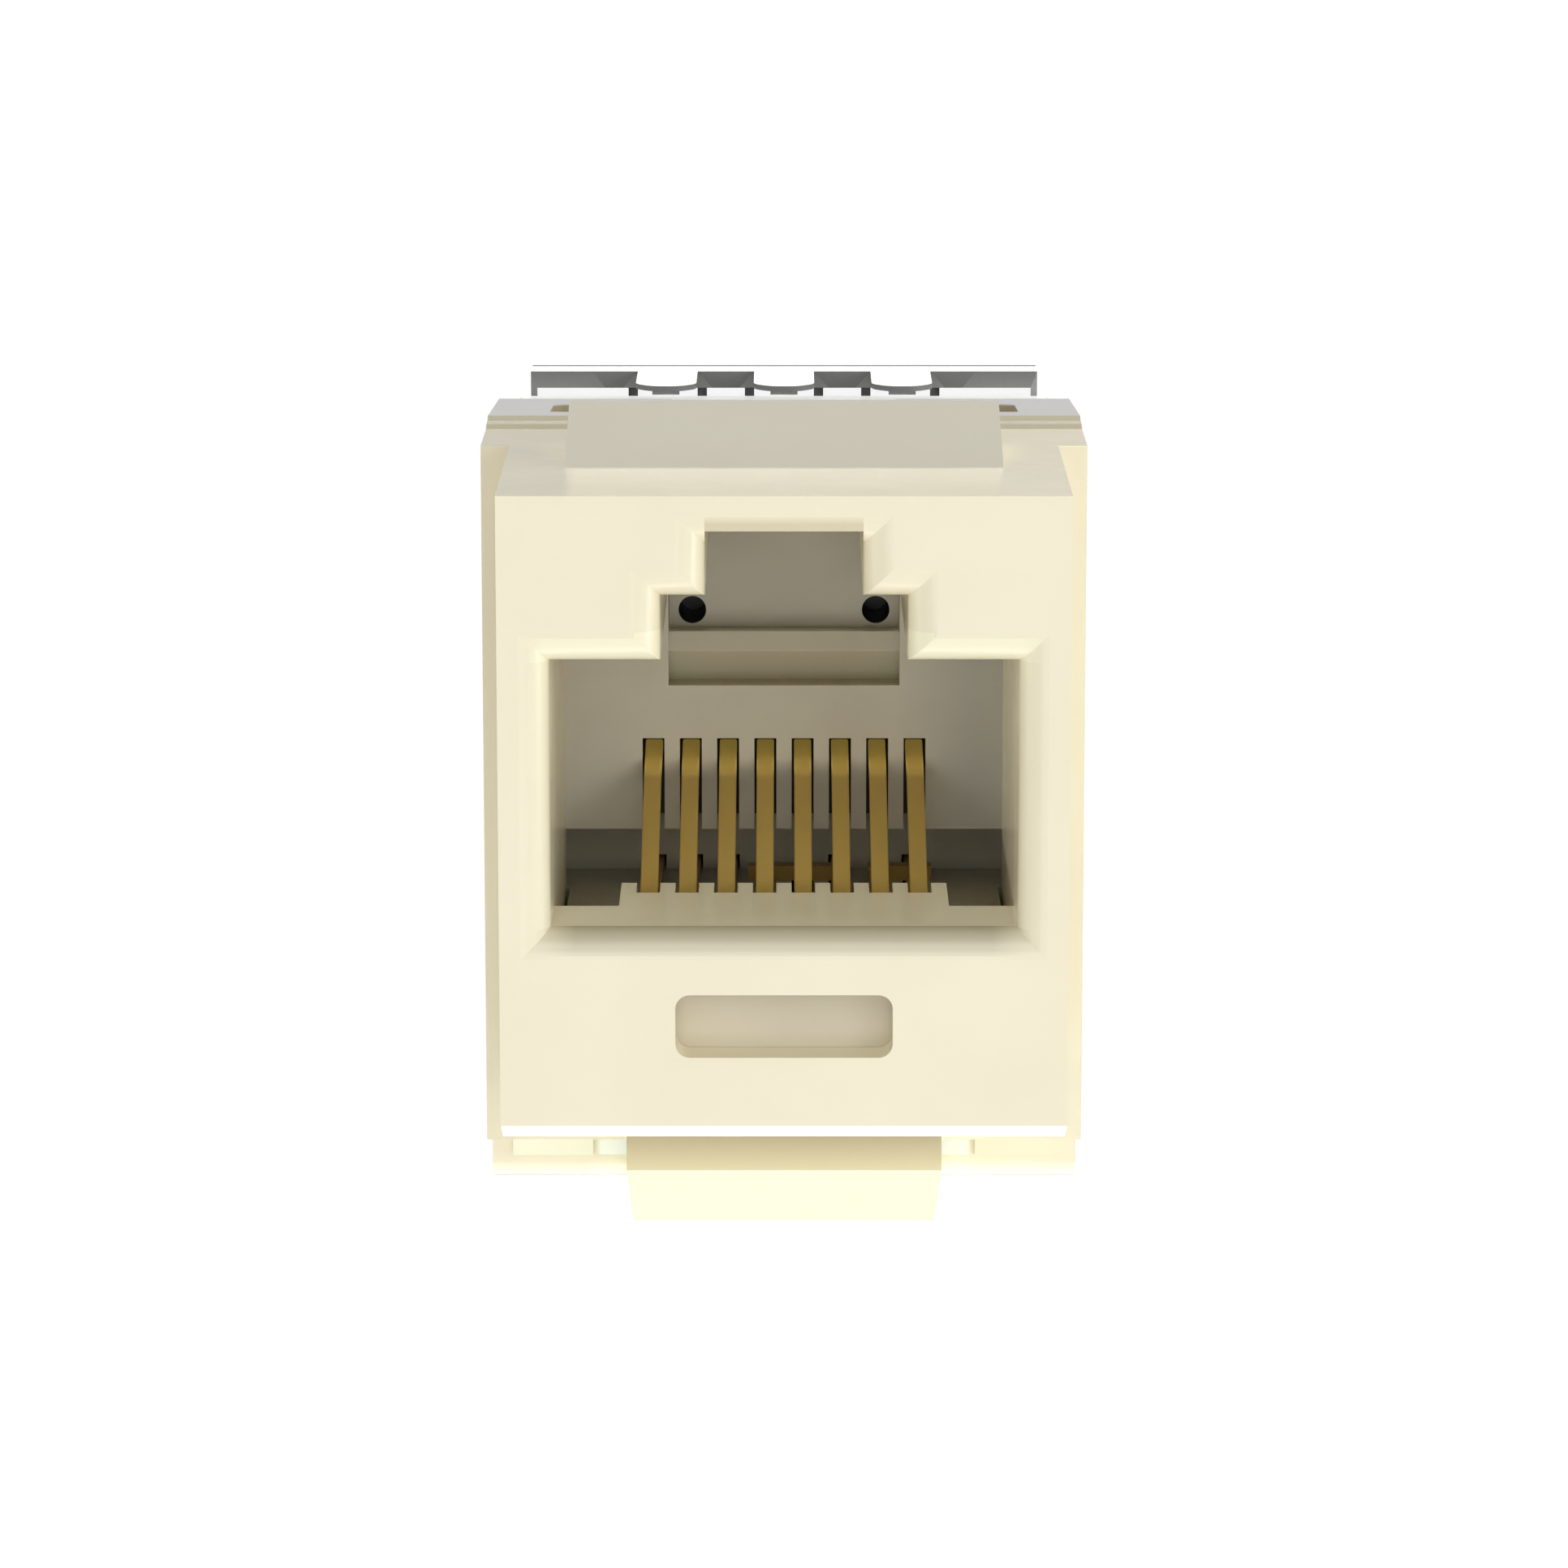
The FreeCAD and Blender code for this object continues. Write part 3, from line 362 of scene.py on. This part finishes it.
gold = {
    "colour": tint(206, 176, 98),
    "wornColour": tint(198, 170, 104),
    "drawn": 0.03 * mm,
    "drawnStretch": (1.0, 0.04, 0.04),
    "drawnHeight": 0.0008 * mm,
    "drawnSpread": (0.3, 0.7),
    "patch": 0.7 * mm,
    # the noise at which wear starts and is full, and how far it goes
    "worn": (0.45, 0.75, 0.6),
    "gloss": (0.32, 0.42),
    "metal": 0.3,
    "paintedLightAndShade": {
        # light thrown back where the strips bend into the carrier
        "bend": {"across": (-4.0, 4.0), "along": (10.0, 14.0), "up": (-2.0, -1.0),
                 "glow": (dark, (0.15, 0.1, 0.02, 1.0)), "rise": (-1.66, -1.5)},
        # painted shade: the legs on the port's foot, darker towards the bottom
        "legs": {"across": (-4.3, 4.3), "along": (4.6, 18.0), "up": (-6.6, -4.3),
                 "tone": (tint(176, 146, 78), tint(206, 176, 98)), "rise": (-4.55, -4.35)},
    },
}


def goldPlate():
    # drawn lines along the strip, and patches where the plating is thinner; painted light and shade lie
    # over them in boxes
    finish = Finish("goldPlate")
    lines = finish.noise(gold["drawn"], detail=2.0, stretch=gold["drawnStretch"])
    start, full, most = gold["worn"]
    worn = finish.range(finish.noise(gold["patch"], roughness=0.6), start, full, 0.0, most)
    colour = finish.blend(worn, gold["colour"], gold["wornColour"])
    dull = finish.range(lines, *gold["drawnSpread"], *gold["gloss"])
    normal = finish.bump(lines, gold["drawnHeight"])
    sockets = {"Metallic": gold["metal"], "Roughness": dull, "Normal": normal}
    return finish.wear(finish.principled({**withPaintedLight(finish, colour, gold["paintedLightAndShade"]), **sockets}))


tin = {
    "colour": tint(205, 205, 202),
    "grainColour": tint(178, 179, 180),
    "crystal": 0.22 * mm,
    "crystalHeight": 0.002 * mm,
    "gloss": (0.28, 0.5),
}


def tinPlate():
    # matte tin, mottled in small crystals
    finish = Finish("tinPlate")
    cells = finish.add("ShaderNodeTexVoronoi", {"feature": "F1"},
                       {"Vector": finish.place, "Scale": 1.0 / tin["crystal"]}, output="Color")
    mottle = finish.add("ShaderNodeSeparateColor", {}, {"Color": cells})
    colour = finish.blend(mottle, tin["colour"], tin["grainColour"])
    dull = finish.range(mottle, 0.0, 1.0, *tin["gloss"])
    normal = finish.bump(finish.noise(tin["crystal"], detail=4.0), tin["crystalHeight"])
    sockets = {"Base Color": colour, "Metallic": 1.0, "Roughness": dull, "Normal": normal}
    return finish.wear(finish.principled(sockets))


laminate = {
    "mask": tint(14, 52, 30),
    "trace": tint(24, 70, 40),
    "weave": 0.35 * mm,
    "weaveGap": 0.06,
    "weaveHeight": 0.003 * mm,
    "tracePitch": 1.3 * mm,
    "traceFrom": 0.62,
    "bendPatch": 3 * mm,
    "bendMost": 2.2,
    "dullPatch": 1 * mm,
    "gloss": 0.24,
    "glossSpread": 0.1,
    # painted shade: the board behind the gauge holes painted near black
    "paintedLightAndShade": {
        "holeShade": {"across": (-3.2, 3.2), "along": (16.5, 16.7), "up": (1.0, 3.5),
                       "tone": (tint(9, 9, 9), tint(12, 12, 12))},
    },
}


def boardLaminate():
    # solder mask over a woven glass board, with copper tracks showing through it, and painted shade
    # behind the gauge holes
    finish = Finish("boardLaminate")
    turned = finish.add("ShaderNodeMapping", {},
                        {"Vector": finish.place, "Rotation": (math.pi / 2, 0, 0)})
    sockets = {"Vector": turned, "Scale": 1.0 / laminate["weave"], "Mortar Size": laminate["weaveGap"]}
    weave = finish.add("ShaderNodeTexBrick", {"offset": 0.5}, sockets, output="Fac")
    bend = finish.noise(laminate["bendPatch"], detail=0.0) * laminate["bendMost"]
    across, along, up = finish.axes()
    stripe = finish.sum("SINE", across * (2 * math.pi / laminate["tracePitch"]) + bend, 0.0)
    colour = finish.blend(stripe > laminate["traceFrom"], laminate["mask"], laminate["trace"])
    normal = finish.bump(weave, laminate["weaveHeight"])
    dull = finish.noise(laminate["dullPatch"]) * laminate["glossSpread"] + laminate["gloss"]
    sockets = {"Roughness": dull, "Normal": normal}
    return finish.wear(finish.principled({**withPaintedLight(finish, colour, laminate["paintedLightAndShade"]), **sockets}))


clear = {
    "tint": tint(247, 247, 247),
    "deepTint": tint(244, 245, 245),
    "patch": 2.5 * mm,
    "ior": 1.49,
    "gloss": (0.03, 0.08),
    "dullPatch": 0.8 * mm,
    "wave": 1.6 * mm,
    "waveHeight": 0.0006 * mm,
}
# the cap's upper rim, in painted light and painted reflection: bright and glowing on top, grey where
# its front catches the light inside
rim = {
    "top": 6.63 * mm,
    "skin": 0.004 * mm,  # what still counts as the top face
    "depth": 0.475 * mm,
    "front": 31.8 * mm,
    "plate": 31.5 * mm,
    # painted shade: a dark line along the rear of the top
    "rearLine": 32.84 * mm,
    "lineTint": tint(30, 30, 30),
    "endInset": 7.4 * mm,
    "tabThick": 0.165 * mm,
    # painted shade: grey reliefs beside each tab
    "reliefFoot": 4.1 * mm,
    "reliefAlong": (31.55 * mm, 31.9 * mm),
    "reliefBeside": (-0.005 * mm, 0.285 * mm),
    # painted light: the crown's bright tint and its glow
    "brightTint": tint(250, 250, 250),
    "brightDeep": tint(246, 246, 246),
    "brightPatch": 1.0 * mm,
    "glow": 0.55,
    "shine": 0.1,
    # painted reflection: the grey tones of the bevel and the dark wedges in it
    "lightTint": tint(150, 150, 149),
    "midTint": tint(132, 132, 131),
    "darkTint": tint(128, 128, 127),
    "gloss": 0.22,
    "tabPitch": 3.49 * mm,
    "tabHalf": 0.895 * mm,
    # the painted reflection's wedge beside a tab: its near side's run, its far side and how far that
    # comes in
    "facetNear": 0.45 * mm,
    "facetFar": 1.37 * mm,
    "facetSlope": 0.40 * mm,
}


def besideTab(finish, across):
    # how far out from the nearest tab's edge
    side = finish.sum("ABSOLUTE", across, 0.0)
    nearest = finish.sum("MINIMUM", side, finish.sum("ABSOLUTE", side - rim["tabPitch"], 0.0))
    return nearest - rim["tabHalf"]


def paintedRimTones(finish):
    # painted reflection: the tabs mirrored in the bevel, a dark wedge that narrows downwards beside
    # each tab
    across, along, up = finish.axes()
    drop = (rim["top"] - up) * (1.0 / rim["depth"])
    reach = besideTab(finish, across)
    wedge = (reach > drop * rim["facetNear"]) * (reach < rim["facetFar"] - drop * rim["facetSlope"])
    pale = finish.blend(drop, rim["midTint"], rim["lightTint"])
    tones = finish.blend(wedge, pale, rim["darkTint"])
    # painted shade: the dark line along the top's rear edge
    return finish.blend(along > rim["rearLine"], tones, rim["lineTint"])


def clearPlastic():
    # clear body; painted reflection and shade in grey where the rim's facets catch the dark, and
    # painted light in a bright, glowing crown along its top
    finish = Finish("clearPlastic")
    dull = finish.cloud(clear["dullPatch"], *clear["gloss"], detail=4.0)
    normal = finish.bump(finish.noise(clear["wave"], detail=1.0), clear["waveHeight"])
    tinted = finish.blend(finish.noise(clear["patch"]), clear["tint"], clear["deepTint"])
    glass = finish.principled({"Base Color": tinted, "Roughness": dull, "IOR": clear["ior"],
                               "Transmission Weight": 1.0, "Normal": normal})
    across, along, up = finish.axes()
    ends = finish.sum("ABSOLUTE", across, 0.0) > rim["endInset"]
    tabFront = (up > rim["top"] - rim["tabThick"]) * (along < rim["plate"])
    bevel = (up > rim["top"] - rim["depth"]) * along.between(rim["plate"], rim["front"])
    line = (up > rim["top"] - rim["skin"]) * (along > rim["rearLine"])
    relief = besideTab(finish, across).between(*rim["reliefBeside"])
    relief = relief * along.between(*rim["reliefAlong"]) * (up > rim["reliefFoot"])
    # painted reflection and shade: the ends, the tabs' fronts, the bevel, the rear line and the reliefs
    # are grey
    greyed = ends * along.between(rim["plate"], rim["front"])
    for mask in (tabFront, bevel, line, relief):
        greyed = finish.sum("MAXIMUM", greyed, mask)
    # painted light: the top face is a bright crown that glows
    crown = (up > rim["top"] - rim["skin"]) * (along < rim["rearLine"])
    grey = finish.principled({"Base Color": paintedRimTones(finish), "Roughness": dull + rim["gloss"],
                              "IOR": clear["ior"], "Specular IOR Level": rim["shine"]})
    brightTint = finish.blend(finish.noise(rim["brightPatch"]), rim["brightTint"], rim["brightDeep"])
    bright = finish.principled({"Base Color": brightTint, "Roughness": dull + rim["gloss"],
                                "IOR": clear["ior"], "Emission Color": paper,
                                "Emission Strength": rim["glow"]})
    body = finish.add("ShaderNodeMixShader", {}, {0: greyed, 1: glass, 2: grey})
    return finish.wear(finish.add("ShaderNodeMixShader", {}, {0: crown, 1: body, 2: bright}))


finishes = {
    "ivory_plastic": mouldedPlastic("ivoryPlastic", ivory),
    "carrier_plastic": mouldedPlastic("carrierPlastic", carrier),
    "white_plastic": mouldedPlastic("whitePlastic", white, windowShade),
    "board_laminate": boardLaminate(),
    "gold_contact": goldPlate(),
    "tinned_blade": tinPlate(),
    "clear_plastic": clearPlastic(),
}
for part in frame["record"]["subparts"]:
    owner = nodes[part["node"]]
    owner.data.materials.clear()
    owner.data.materials.append(finishes[part["material_slot"]])
print("finishes made:", len(finishes))


class Shape(Tree):
    # a geometry tree with named inputs, run on one mesh and turned into a plain one
    def __init__(self, name, inputs):
        super().__init__(bpy.data.node_groups.new(name, "GeometryNodeTree"))
        face = self.nodeTree.interface
        face.new_socket("Geometry", in_out="INPUT", socket_type="NodeSocketGeometry")
        face.new_socket("Geometry", in_out="OUTPUT", socket_type="NodeSocketGeometry")
        self.keys = {}
        for label, (kind, value) in inputs.items():
            socket = face.new_socket(label, in_out="INPUT", socket_type=kind)
            socket.default_value = value
            self.keys[label] = socket.identifier
        self.source = self.nodeTree.nodes.new("NodeGroupInput")

    def given(self, label):
        return Value(self, self.source.outputs[label])

    def attribute(self, name):
        return self.add("GeometryNodeInputNamedAttribute", {"data_type": "FLOAT"}, {"Name": name})

    def join(self, pieces):
        node = self.nodeTree.nodes.new("GeometryNodeJoinGeometry")
        for piece in pieces:
            self.feed(node.inputs[0], piece)
        return Value(self, node.outputs[0])

    def soften(self, geometry, angle=0.6):
        # round walls are shaded smooth, and edges sharper than the angle stay crisp
        smooth = self.add("GeometryNodeSetShadeSmooth", {"domain": "FACE"},
                          {"Geometry": geometry, "Shade Smooth": True})
        sharp = self.add("GeometryNodeInputMeshEdgeAngle") > angle
        return self.add("GeometryNodeSetShadeSmooth", {"domain": "EDGE"},
                        {"Geometry": smooth, "Selection": sharp, "Shade Smooth": False})

    def end(self, geometry, material):
        whole = self.add("GeometryNodeRealizeInstances", {}, {"Geometry": geometry})
        dressed = self.add("GeometryNodeSetMaterial", {}, {"Geometry": whole, "Material": material})
        self.add("NodeGroupOutput", {}, {"Geometry": dressed})

    def run(self, name, points, edges, values, attributes=None):
        # the start mesh carries the numbers that differ from point to point
        start = bpy.data.meshes.new(name + "Start")
        start.from_pydata(points, edges, [])
        for label, numbers in (attributes or {}).items():
            start.attributes.new(label, "FLOAT", "POINT").data.foreach_set("value", numbers)
        holder = bpy.data.objects.new(name, start)
        bpy.context.scene.collection.objects.link(holder)
        modifier = holder.modifiers.new("shape", "NODES")
        modifier.node_group = self.nodeTree
        for label, value in values.items():
            modifier[self.keys[label]] = value
        seen = holder.evaluated_get(bpy.context.evaluated_depsgraph_get())
        holder.data = bpy.data.meshes.new_from_object(seen)
        holder.data.name = name
        holder.modifiers.remove(modifier)
        return holder


spring = {
    "width": 0.47 * mm,
    "thick": 0.3 * mm,
    "corner": 0.05 * mm,
    "cornerSteps": 3,
    "bendSteps": 10,
    "pitch": 1.016 * mm,
    "count": 8,
    "tailEnd": 17.7 * mm,
    "leg": -4.8 * mm,
    "lowLeg": -6.1 * mm,
    "hairpin": (3.93 * mm, 0.4 * mm),  # along, bend radius
    "bend": (11.2 * mm, -1.71 * mm, 1.0 * mm),  # along, up, bend radius
    "tip": (13.6 * mm, -1.25 * mm),  # along, up
    "drop": (12.1 * mm, 13.0 * mm, 0.35 * mm),  # start, end, bend radius
    "dropped": (5, 6, 8),
    "bridged": {4: 6, 7: 8},  # a contact, and the one whose place its tail takes
    "bar": (13.0 * mm, 13.55 * mm, 0.4 * mm, 0.24 * mm),  # front, back, thickness, overhang
    "barSide": {4: -1, 7: 1},  # the side of the overhang
    "barb": (11.0 * mm, 11.4 * mm, 0.67 * mm),  # front, back, width
    "barbed": (2,),
}


def springTree():
    # each run of points becomes a strip with rounded bends; the block is a crossing bar or a barb
    shape = Shape("springShape", {
        "Width": ("NodeSocketFloat", spring["width"]),
        "Thickness": ("NodeSocketFloat", spring["thick"]),
        "Corner": ("NodeSocketFloat", spring["corner"]),
        "Bend Steps": ("NodeSocketInt", spring["bendSteps"]),
        "Block Size": ("NodeSocketVector", (0.0, 0.0, 0.0)),
        "Block Place": ("NodeSocketVector", (0.0, 0.0, 0.0)),
    })
    line = shape.add("GeometryNodeMeshToCurve", {}, {"Mesh": shape.given("Geometry")})
    bent = shape.add("GeometryNodeFilletCurve", {"mode": "POLY"},
                     {"Curve": line, "Count": shape.given("Bend Steps"),
                      "Radius": shape.attribute("bend")})
    outline = shape.add("GeometryNodeCurvePrimitiveQuadrilateral", {"mode": "RECTANGLE"},
                        {"Width": shape.given("Width"), "Height": shape.given("Thickness")})
    section = shape.add("GeometryNodeFilletCurve", {"mode": "POLY"},
                        {"Curve": outline, "Count": spring["cornerSteps"],
                         "Radius": shape.given("Corner")})
    strip = shape.add("GeometryNodeCurveToMesh", {},
                      {"Curve": bent, "Profile Curve": section, "Fill Caps": True})
    block = shape.add("GeometryNodeMeshCube", {}, {"Size": shape.given("Block Size")})
    block = shape.add("GeometryNodeTransform", {},
                      {"Geometry": block, "Translation": shape.given("Block Place")})
    shape.end(shape.soften(shape.join([strip, block])), finishes["gold_contact"])
    return shape


def springAcross(number):
    # the contacts' places, centred on the port
    return spring["pitch"] * (number - (spring["count"] + 1) / 2)


def springPoints(number, across):
    # the places and bend radii along one strip, from its tail to its tip
    start, end, dropBend = spring["drop"]
    leg = spring["leg"]
    turn, turnBend = spring["hairpin"]
    bend, rise, bendBend = spring["bend"]
    tip, tipRise = spring["tip"]
    if number in spring["dropped"]:
        low = spring["lowLeg"]
        stops = [(spring["tailEnd"], low, 0.0), (end, low, dropBend), (start, leg, dropBend)]
    elif number in spring["bridged"]:
        stops = [(spring["bar"][1], leg, 0.0)]
    else:
        stops = [(spring["tailEnd"], leg, 0.0)]
    stops += [(turn, leg, turnBend), (bend, rise, bendBend), (tip, tipRise, 0.0)]
    return [((across, along, up), radius) for along, up, radius in stops]


def makeSprings():
    shape = springTree()
    half = spring["thick"] / 2
    for number in range(1, spring["count"] + 1):
        across = springAcross(number)
        stops = springPoints(number, across)
        edges = [(index, index + 1) for index in range(len(stops) - 1)]
        values = {"Bend Steps": spring["bendSteps"]}
        if number in spring["bridged"]:
            far = springAcross(spring["bridged"][number])
            front, back, thick, over = spring["bar"]
            first = len(stops)
            stops += [((far, along, spring["leg"]), 0.0) for along in (back, spring["tailEnd"])]
            edges.append((first, first + 1))
            left, right = across - spring["width"] / 2, far + spring["width"] / 2
            if spring["barSide"][number] < 0:
                left -= over
            else:
                right += over
            values["Block Size"] = (right - left, back - front, thick)
            middle = spring["leg"] - half + thick / 2
            values["Block Place"] = ((left + right) / 2, (front + back) / 2, middle)
        if number in spring["barbed"]:
            front, back, wide = spring["barb"]
            values["Block Size"] = (wide, back - front, spring["thick"])
            values["Block Place"] = (across, (front + back) / 2, spring["leg"])
        places, radii = zip(*stops)
        piece = shape.run("strip%d" % number, places, edges, values, {"bend": radii})
        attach(piece, "root")
        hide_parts("contact_spring_%d" % number)


makeSprings()
print("contact springs swept:", spring["count"])

grip = {
    "radius": 0.16 * mm,
    "sink": 0.07 * mm,
    "mouth": 28.9 * mm,
    "pitch": 0.8 * mm,
    "perWall": 4,
    "inner": 2.6 * mm,
    "outer": 7.7 * mm,
    "gap": 0.9 * mm,
    "rows": (-9.75 * mm, -5.65 * mm, -1.55 * mm, 2.55 * mm),
    "segments": 14,
}


def gripTree():
    # round ribs across each wall of a wire slot, in a row from its mouth, that hold the wire's jacket
    shape = Shape("gripShape", {
        "Radius": ("NodeSocketFloat", grip["radius"]),
        "Length": ("NodeSocketFloat", grip["outer"] - grip["inner"]),
        "Pitch": ("NodeSocketFloat", grip["pitch"]),
        "Per Wall": ("NodeSocketInt", grip["perWall"]),
        "Segments": ("NodeSocketInt", grip["segments"]),
    })
    forward = shape.add("ShaderNodeCombineXYZ", {}, {"Y": shape.given("Pitch") * -1.0})
    row = shape.add("GeometryNodeMeshLine", {"mode": "OFFSET"},
                    {"Count": shape.given("Per Wall"), "Offset": forward})
    rib = shape.add("GeometryNodeMeshCylinder", {"fill_type": "NGON"},
                    {"Vertices": shape.given("Segments"), "Radius": shape.given("Radius"),
                     "Depth": shape.given("Length")})
    rib = shape.add("GeometryNodeTransform", {},
                    {"Geometry": rib, "Rotation": (0.0, math.pi / 2, 0.0)})
    ribs = shape.add("GeometryNodeInstanceOnPoints", {}, {"Points": row, "Instance": rib})
    ribs = shape.add("GeometryNodeRealizeInstances", {}, {"Geometry": ribs})
    whole = shape.add("GeometryNodeInstanceOnPoints", {},
                      {"Points": shape.given("Geometry"), "Instance": ribs})
    whole = shape.add("GeometryNodeRealizeInstances", {}, {"Geometry": whole})
    shape.end(shape.soften(whole), finishes["white_plastic"])
    return shape


def makeGrips():
    shape = gripTree()
    middle = (grip["inner"] + grip["outer"]) / 2
    half = grip["gap"] / 2 + grip["radius"] - grip["sink"]
    starts = [(side * middle, grip["mouth"], row + wall * half)
              for side in (-1, 1) for row in grip["rows"] for wall in (-1, 1)]
    piece = shape.run("slotGrips", starts, [], {"Per Wall": grip["perWall"]})
    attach(piece, "root")


makeGrips()
print("wire slot grips set:", 2 * len(grip["rows"]) * 2 * grip["perWall"])

# the camera's place is worked out from the face and the port as the photograph shows them
cameraLook = {
    "place": (0.0, -156.86 * mm, 31.91 * mm),
    "target": (0.0, 0.0, 0.37 * mm),
    "lens": 145.2,
    "sensor": 36.0,
    "near": 0.01,
    "far": 20.0,
}


def aimed(holder, place, target):
    # stands a camera or lamp at its place, turned to the target
    bpy.context.scene.collection.objects.link(holder)
    holder.location = place
    holder.rotation_euler = (Vector(target) - Vector(place)).to_track_quat("-Z", "Y").to_euler()


def makeCamera():
    view = bpy.data.cameras.new("camera")
    view.sensor_width = cameraLook["sensor"]
    view.lens = cameraLook["lens"]
    view.clip_start = cameraLook["near"]
    view.clip_end = cameraLook["far"]
    camera = bpy.data.objects.new("camera", view)
    aimed(camera, cameraLook["place"], cameraLook["target"])
    bpy.context.scene.camera = camera


stageLook = {
    "floorDrop": 110 * mm,
    "floorHalf": 4.0,
    "floorColour": tint(246, 246, 245),
    "floorDeep": tint(244, 244, 243),
    "floorPatch": 60 * mm,
    "floorDull": 0.9,
    "backWhite": 0.90,  # how much of the card is plain white to the camera
    "backLevel": 1.12,
    # the sky's levels, and the directions over which they change
    "skyRest": 0.47,
    "skyTop": 0.01,
    "skyBack": 0.79,
    "skyTopFrom": (0.35, 0.75),
    "skyBackFrom": (0.2, 0.7),
    "skyTint": (1.0, 0.985, 0.94, 1.0),
}


def makeFloor():
    # a white card far below, which the camera sees, also through the cap, as nearly plain white
    half = stageLook["floorHalf"]
    level = cadLow.z - stageLook["floorDrop"]
    mesh = bpy.data.meshes.new("floor")
    corners = [(-half, -half, level), (half, -half, level), (half, half, level), (-half, half, level)]
    mesh.from_pydata(corners, [], [(0, 1, 2, 3)])
    floor = bpy.data.objects.new("floor", mesh)
    bpy.context.scene.collection.objects.link(floor)
    finish = Finish("floorCard")
    cloud = finish.noise(stageLook["floorPatch"])
    colour = finish.blend(cloud, stageLook["floorColour"], stageLook["floorDeep"])
    card = finish.principled({"Base Color": colour, "Roughness": stageLook["floorDull"]})
    glow = finish.add("ShaderNodeEmission", {}, {"Color": paper, "Strength": stageLook["backLevel"]})
    seen = finish.add("ShaderNodeLightPath", output="Is Camera Ray")
    seen = seen + Value(finish, seen.socket.node.outputs["Is Transmission Ray"])
    share = finish.sum("MINIMUM", seen, 1.0) * stageLook["backWhite"]
    shader = finish.add("ShaderNodeMixShader", {}, {0: share, 1: card, 2: glow})
    mesh.materials.append(finish.wear(shader))


def makeWorld():
    # a grey studio, dark overhead and brighter behind the jack
    world = bpy.data.worlds.new("studio")
    world.use_nodes = True
    bpy.context.scene.world = world
    tree = Tree(world.node_tree)
    tree.nodeTree.nodes.clear()
    place = tree.add("ShaderNodeTexCoord", output="Generated")
    parts = tree.add("ShaderNodeSeparateXYZ", {}, {"Vector": place}).socket.node.outputs

    def rise(axis, low, high):
        settings = {"clamp": True, "interpolation_type": "SMOOTHSTEP"}
        sockets = {"Value": Value(tree, parts[axis]), "From Min": low, "From Max": high}
        return tree.add("ShaderNodeMapRange", settings, sockets)

    overhead = rise("Z", *stageLook["skyTopFrom"])
    behind = rise("Y", *stageLook["skyBackFrom"]) * (1.0 - overhead)
    rest = stageLook["skyRest"]
    share = rest + overhead * (stageLook["skyTop"] - rest) + behind * (stageLook["skyBack"] - rest)
    sky = tree.add("ShaderNodeBackground", {}, {"Color": stageLook["skyTint"], "Strength": share})
    tree.add("ShaderNodeOutputWorld", {}, {"Surface": sky})


# size in metres, power in watts; all are aimed at the jack's middle
lamps = {
    "frontRight": {"place": (200 * mm, -300 * mm, 60 * mm), "size": 0.16, "power": 0.215},
    "frontLeft": {"place": (-200 * mm, -300 * mm, 60 * mm), "size": 0.16, "power": 0.09},
    "frontHigh": {"place": (0.0, -260 * mm, 220 * mm), "size": 0.16, "power": 0.14},
    "rearHigh": {"place": (0.0, 270 * mm, 170 * mm), "size": 0.2, "power": 0.18},
    "sideRight": {"place": (330 * mm, -40 * mm, 40 * mm), "size": 0.2, "power": 0.51},
    "sideLeft": {"place": (-330 * mm, -40 * mm, 40 * mm), "size": 0.2, "power": 0.21},
    "below": {"place": (0.0, 20 * mm, -118 * mm), "size": 0.14, "power": 0.125},
    "frontLow": {"place": (0.0, -330 * mm, -20 * mm), "size": 0.2, "power": 0.20},
}


def makeLamps():
    middle = (cadLow + cadHigh) / 2
    for name, lamp in lamps.items():
        light = bpy.data.lights.new(name, "AREA")
        light.energy = lamp["power"]
        light.size = lamp["size"]
        aimed(bpy.data.objects.new(name, light), lamp["place"], middle)


makeCamera()
makeFloor()
makeWorld()
makeLamps()
bpy.context.scene.view_settings.view_transform = "Standard"
print("stage, lamps and camera set")
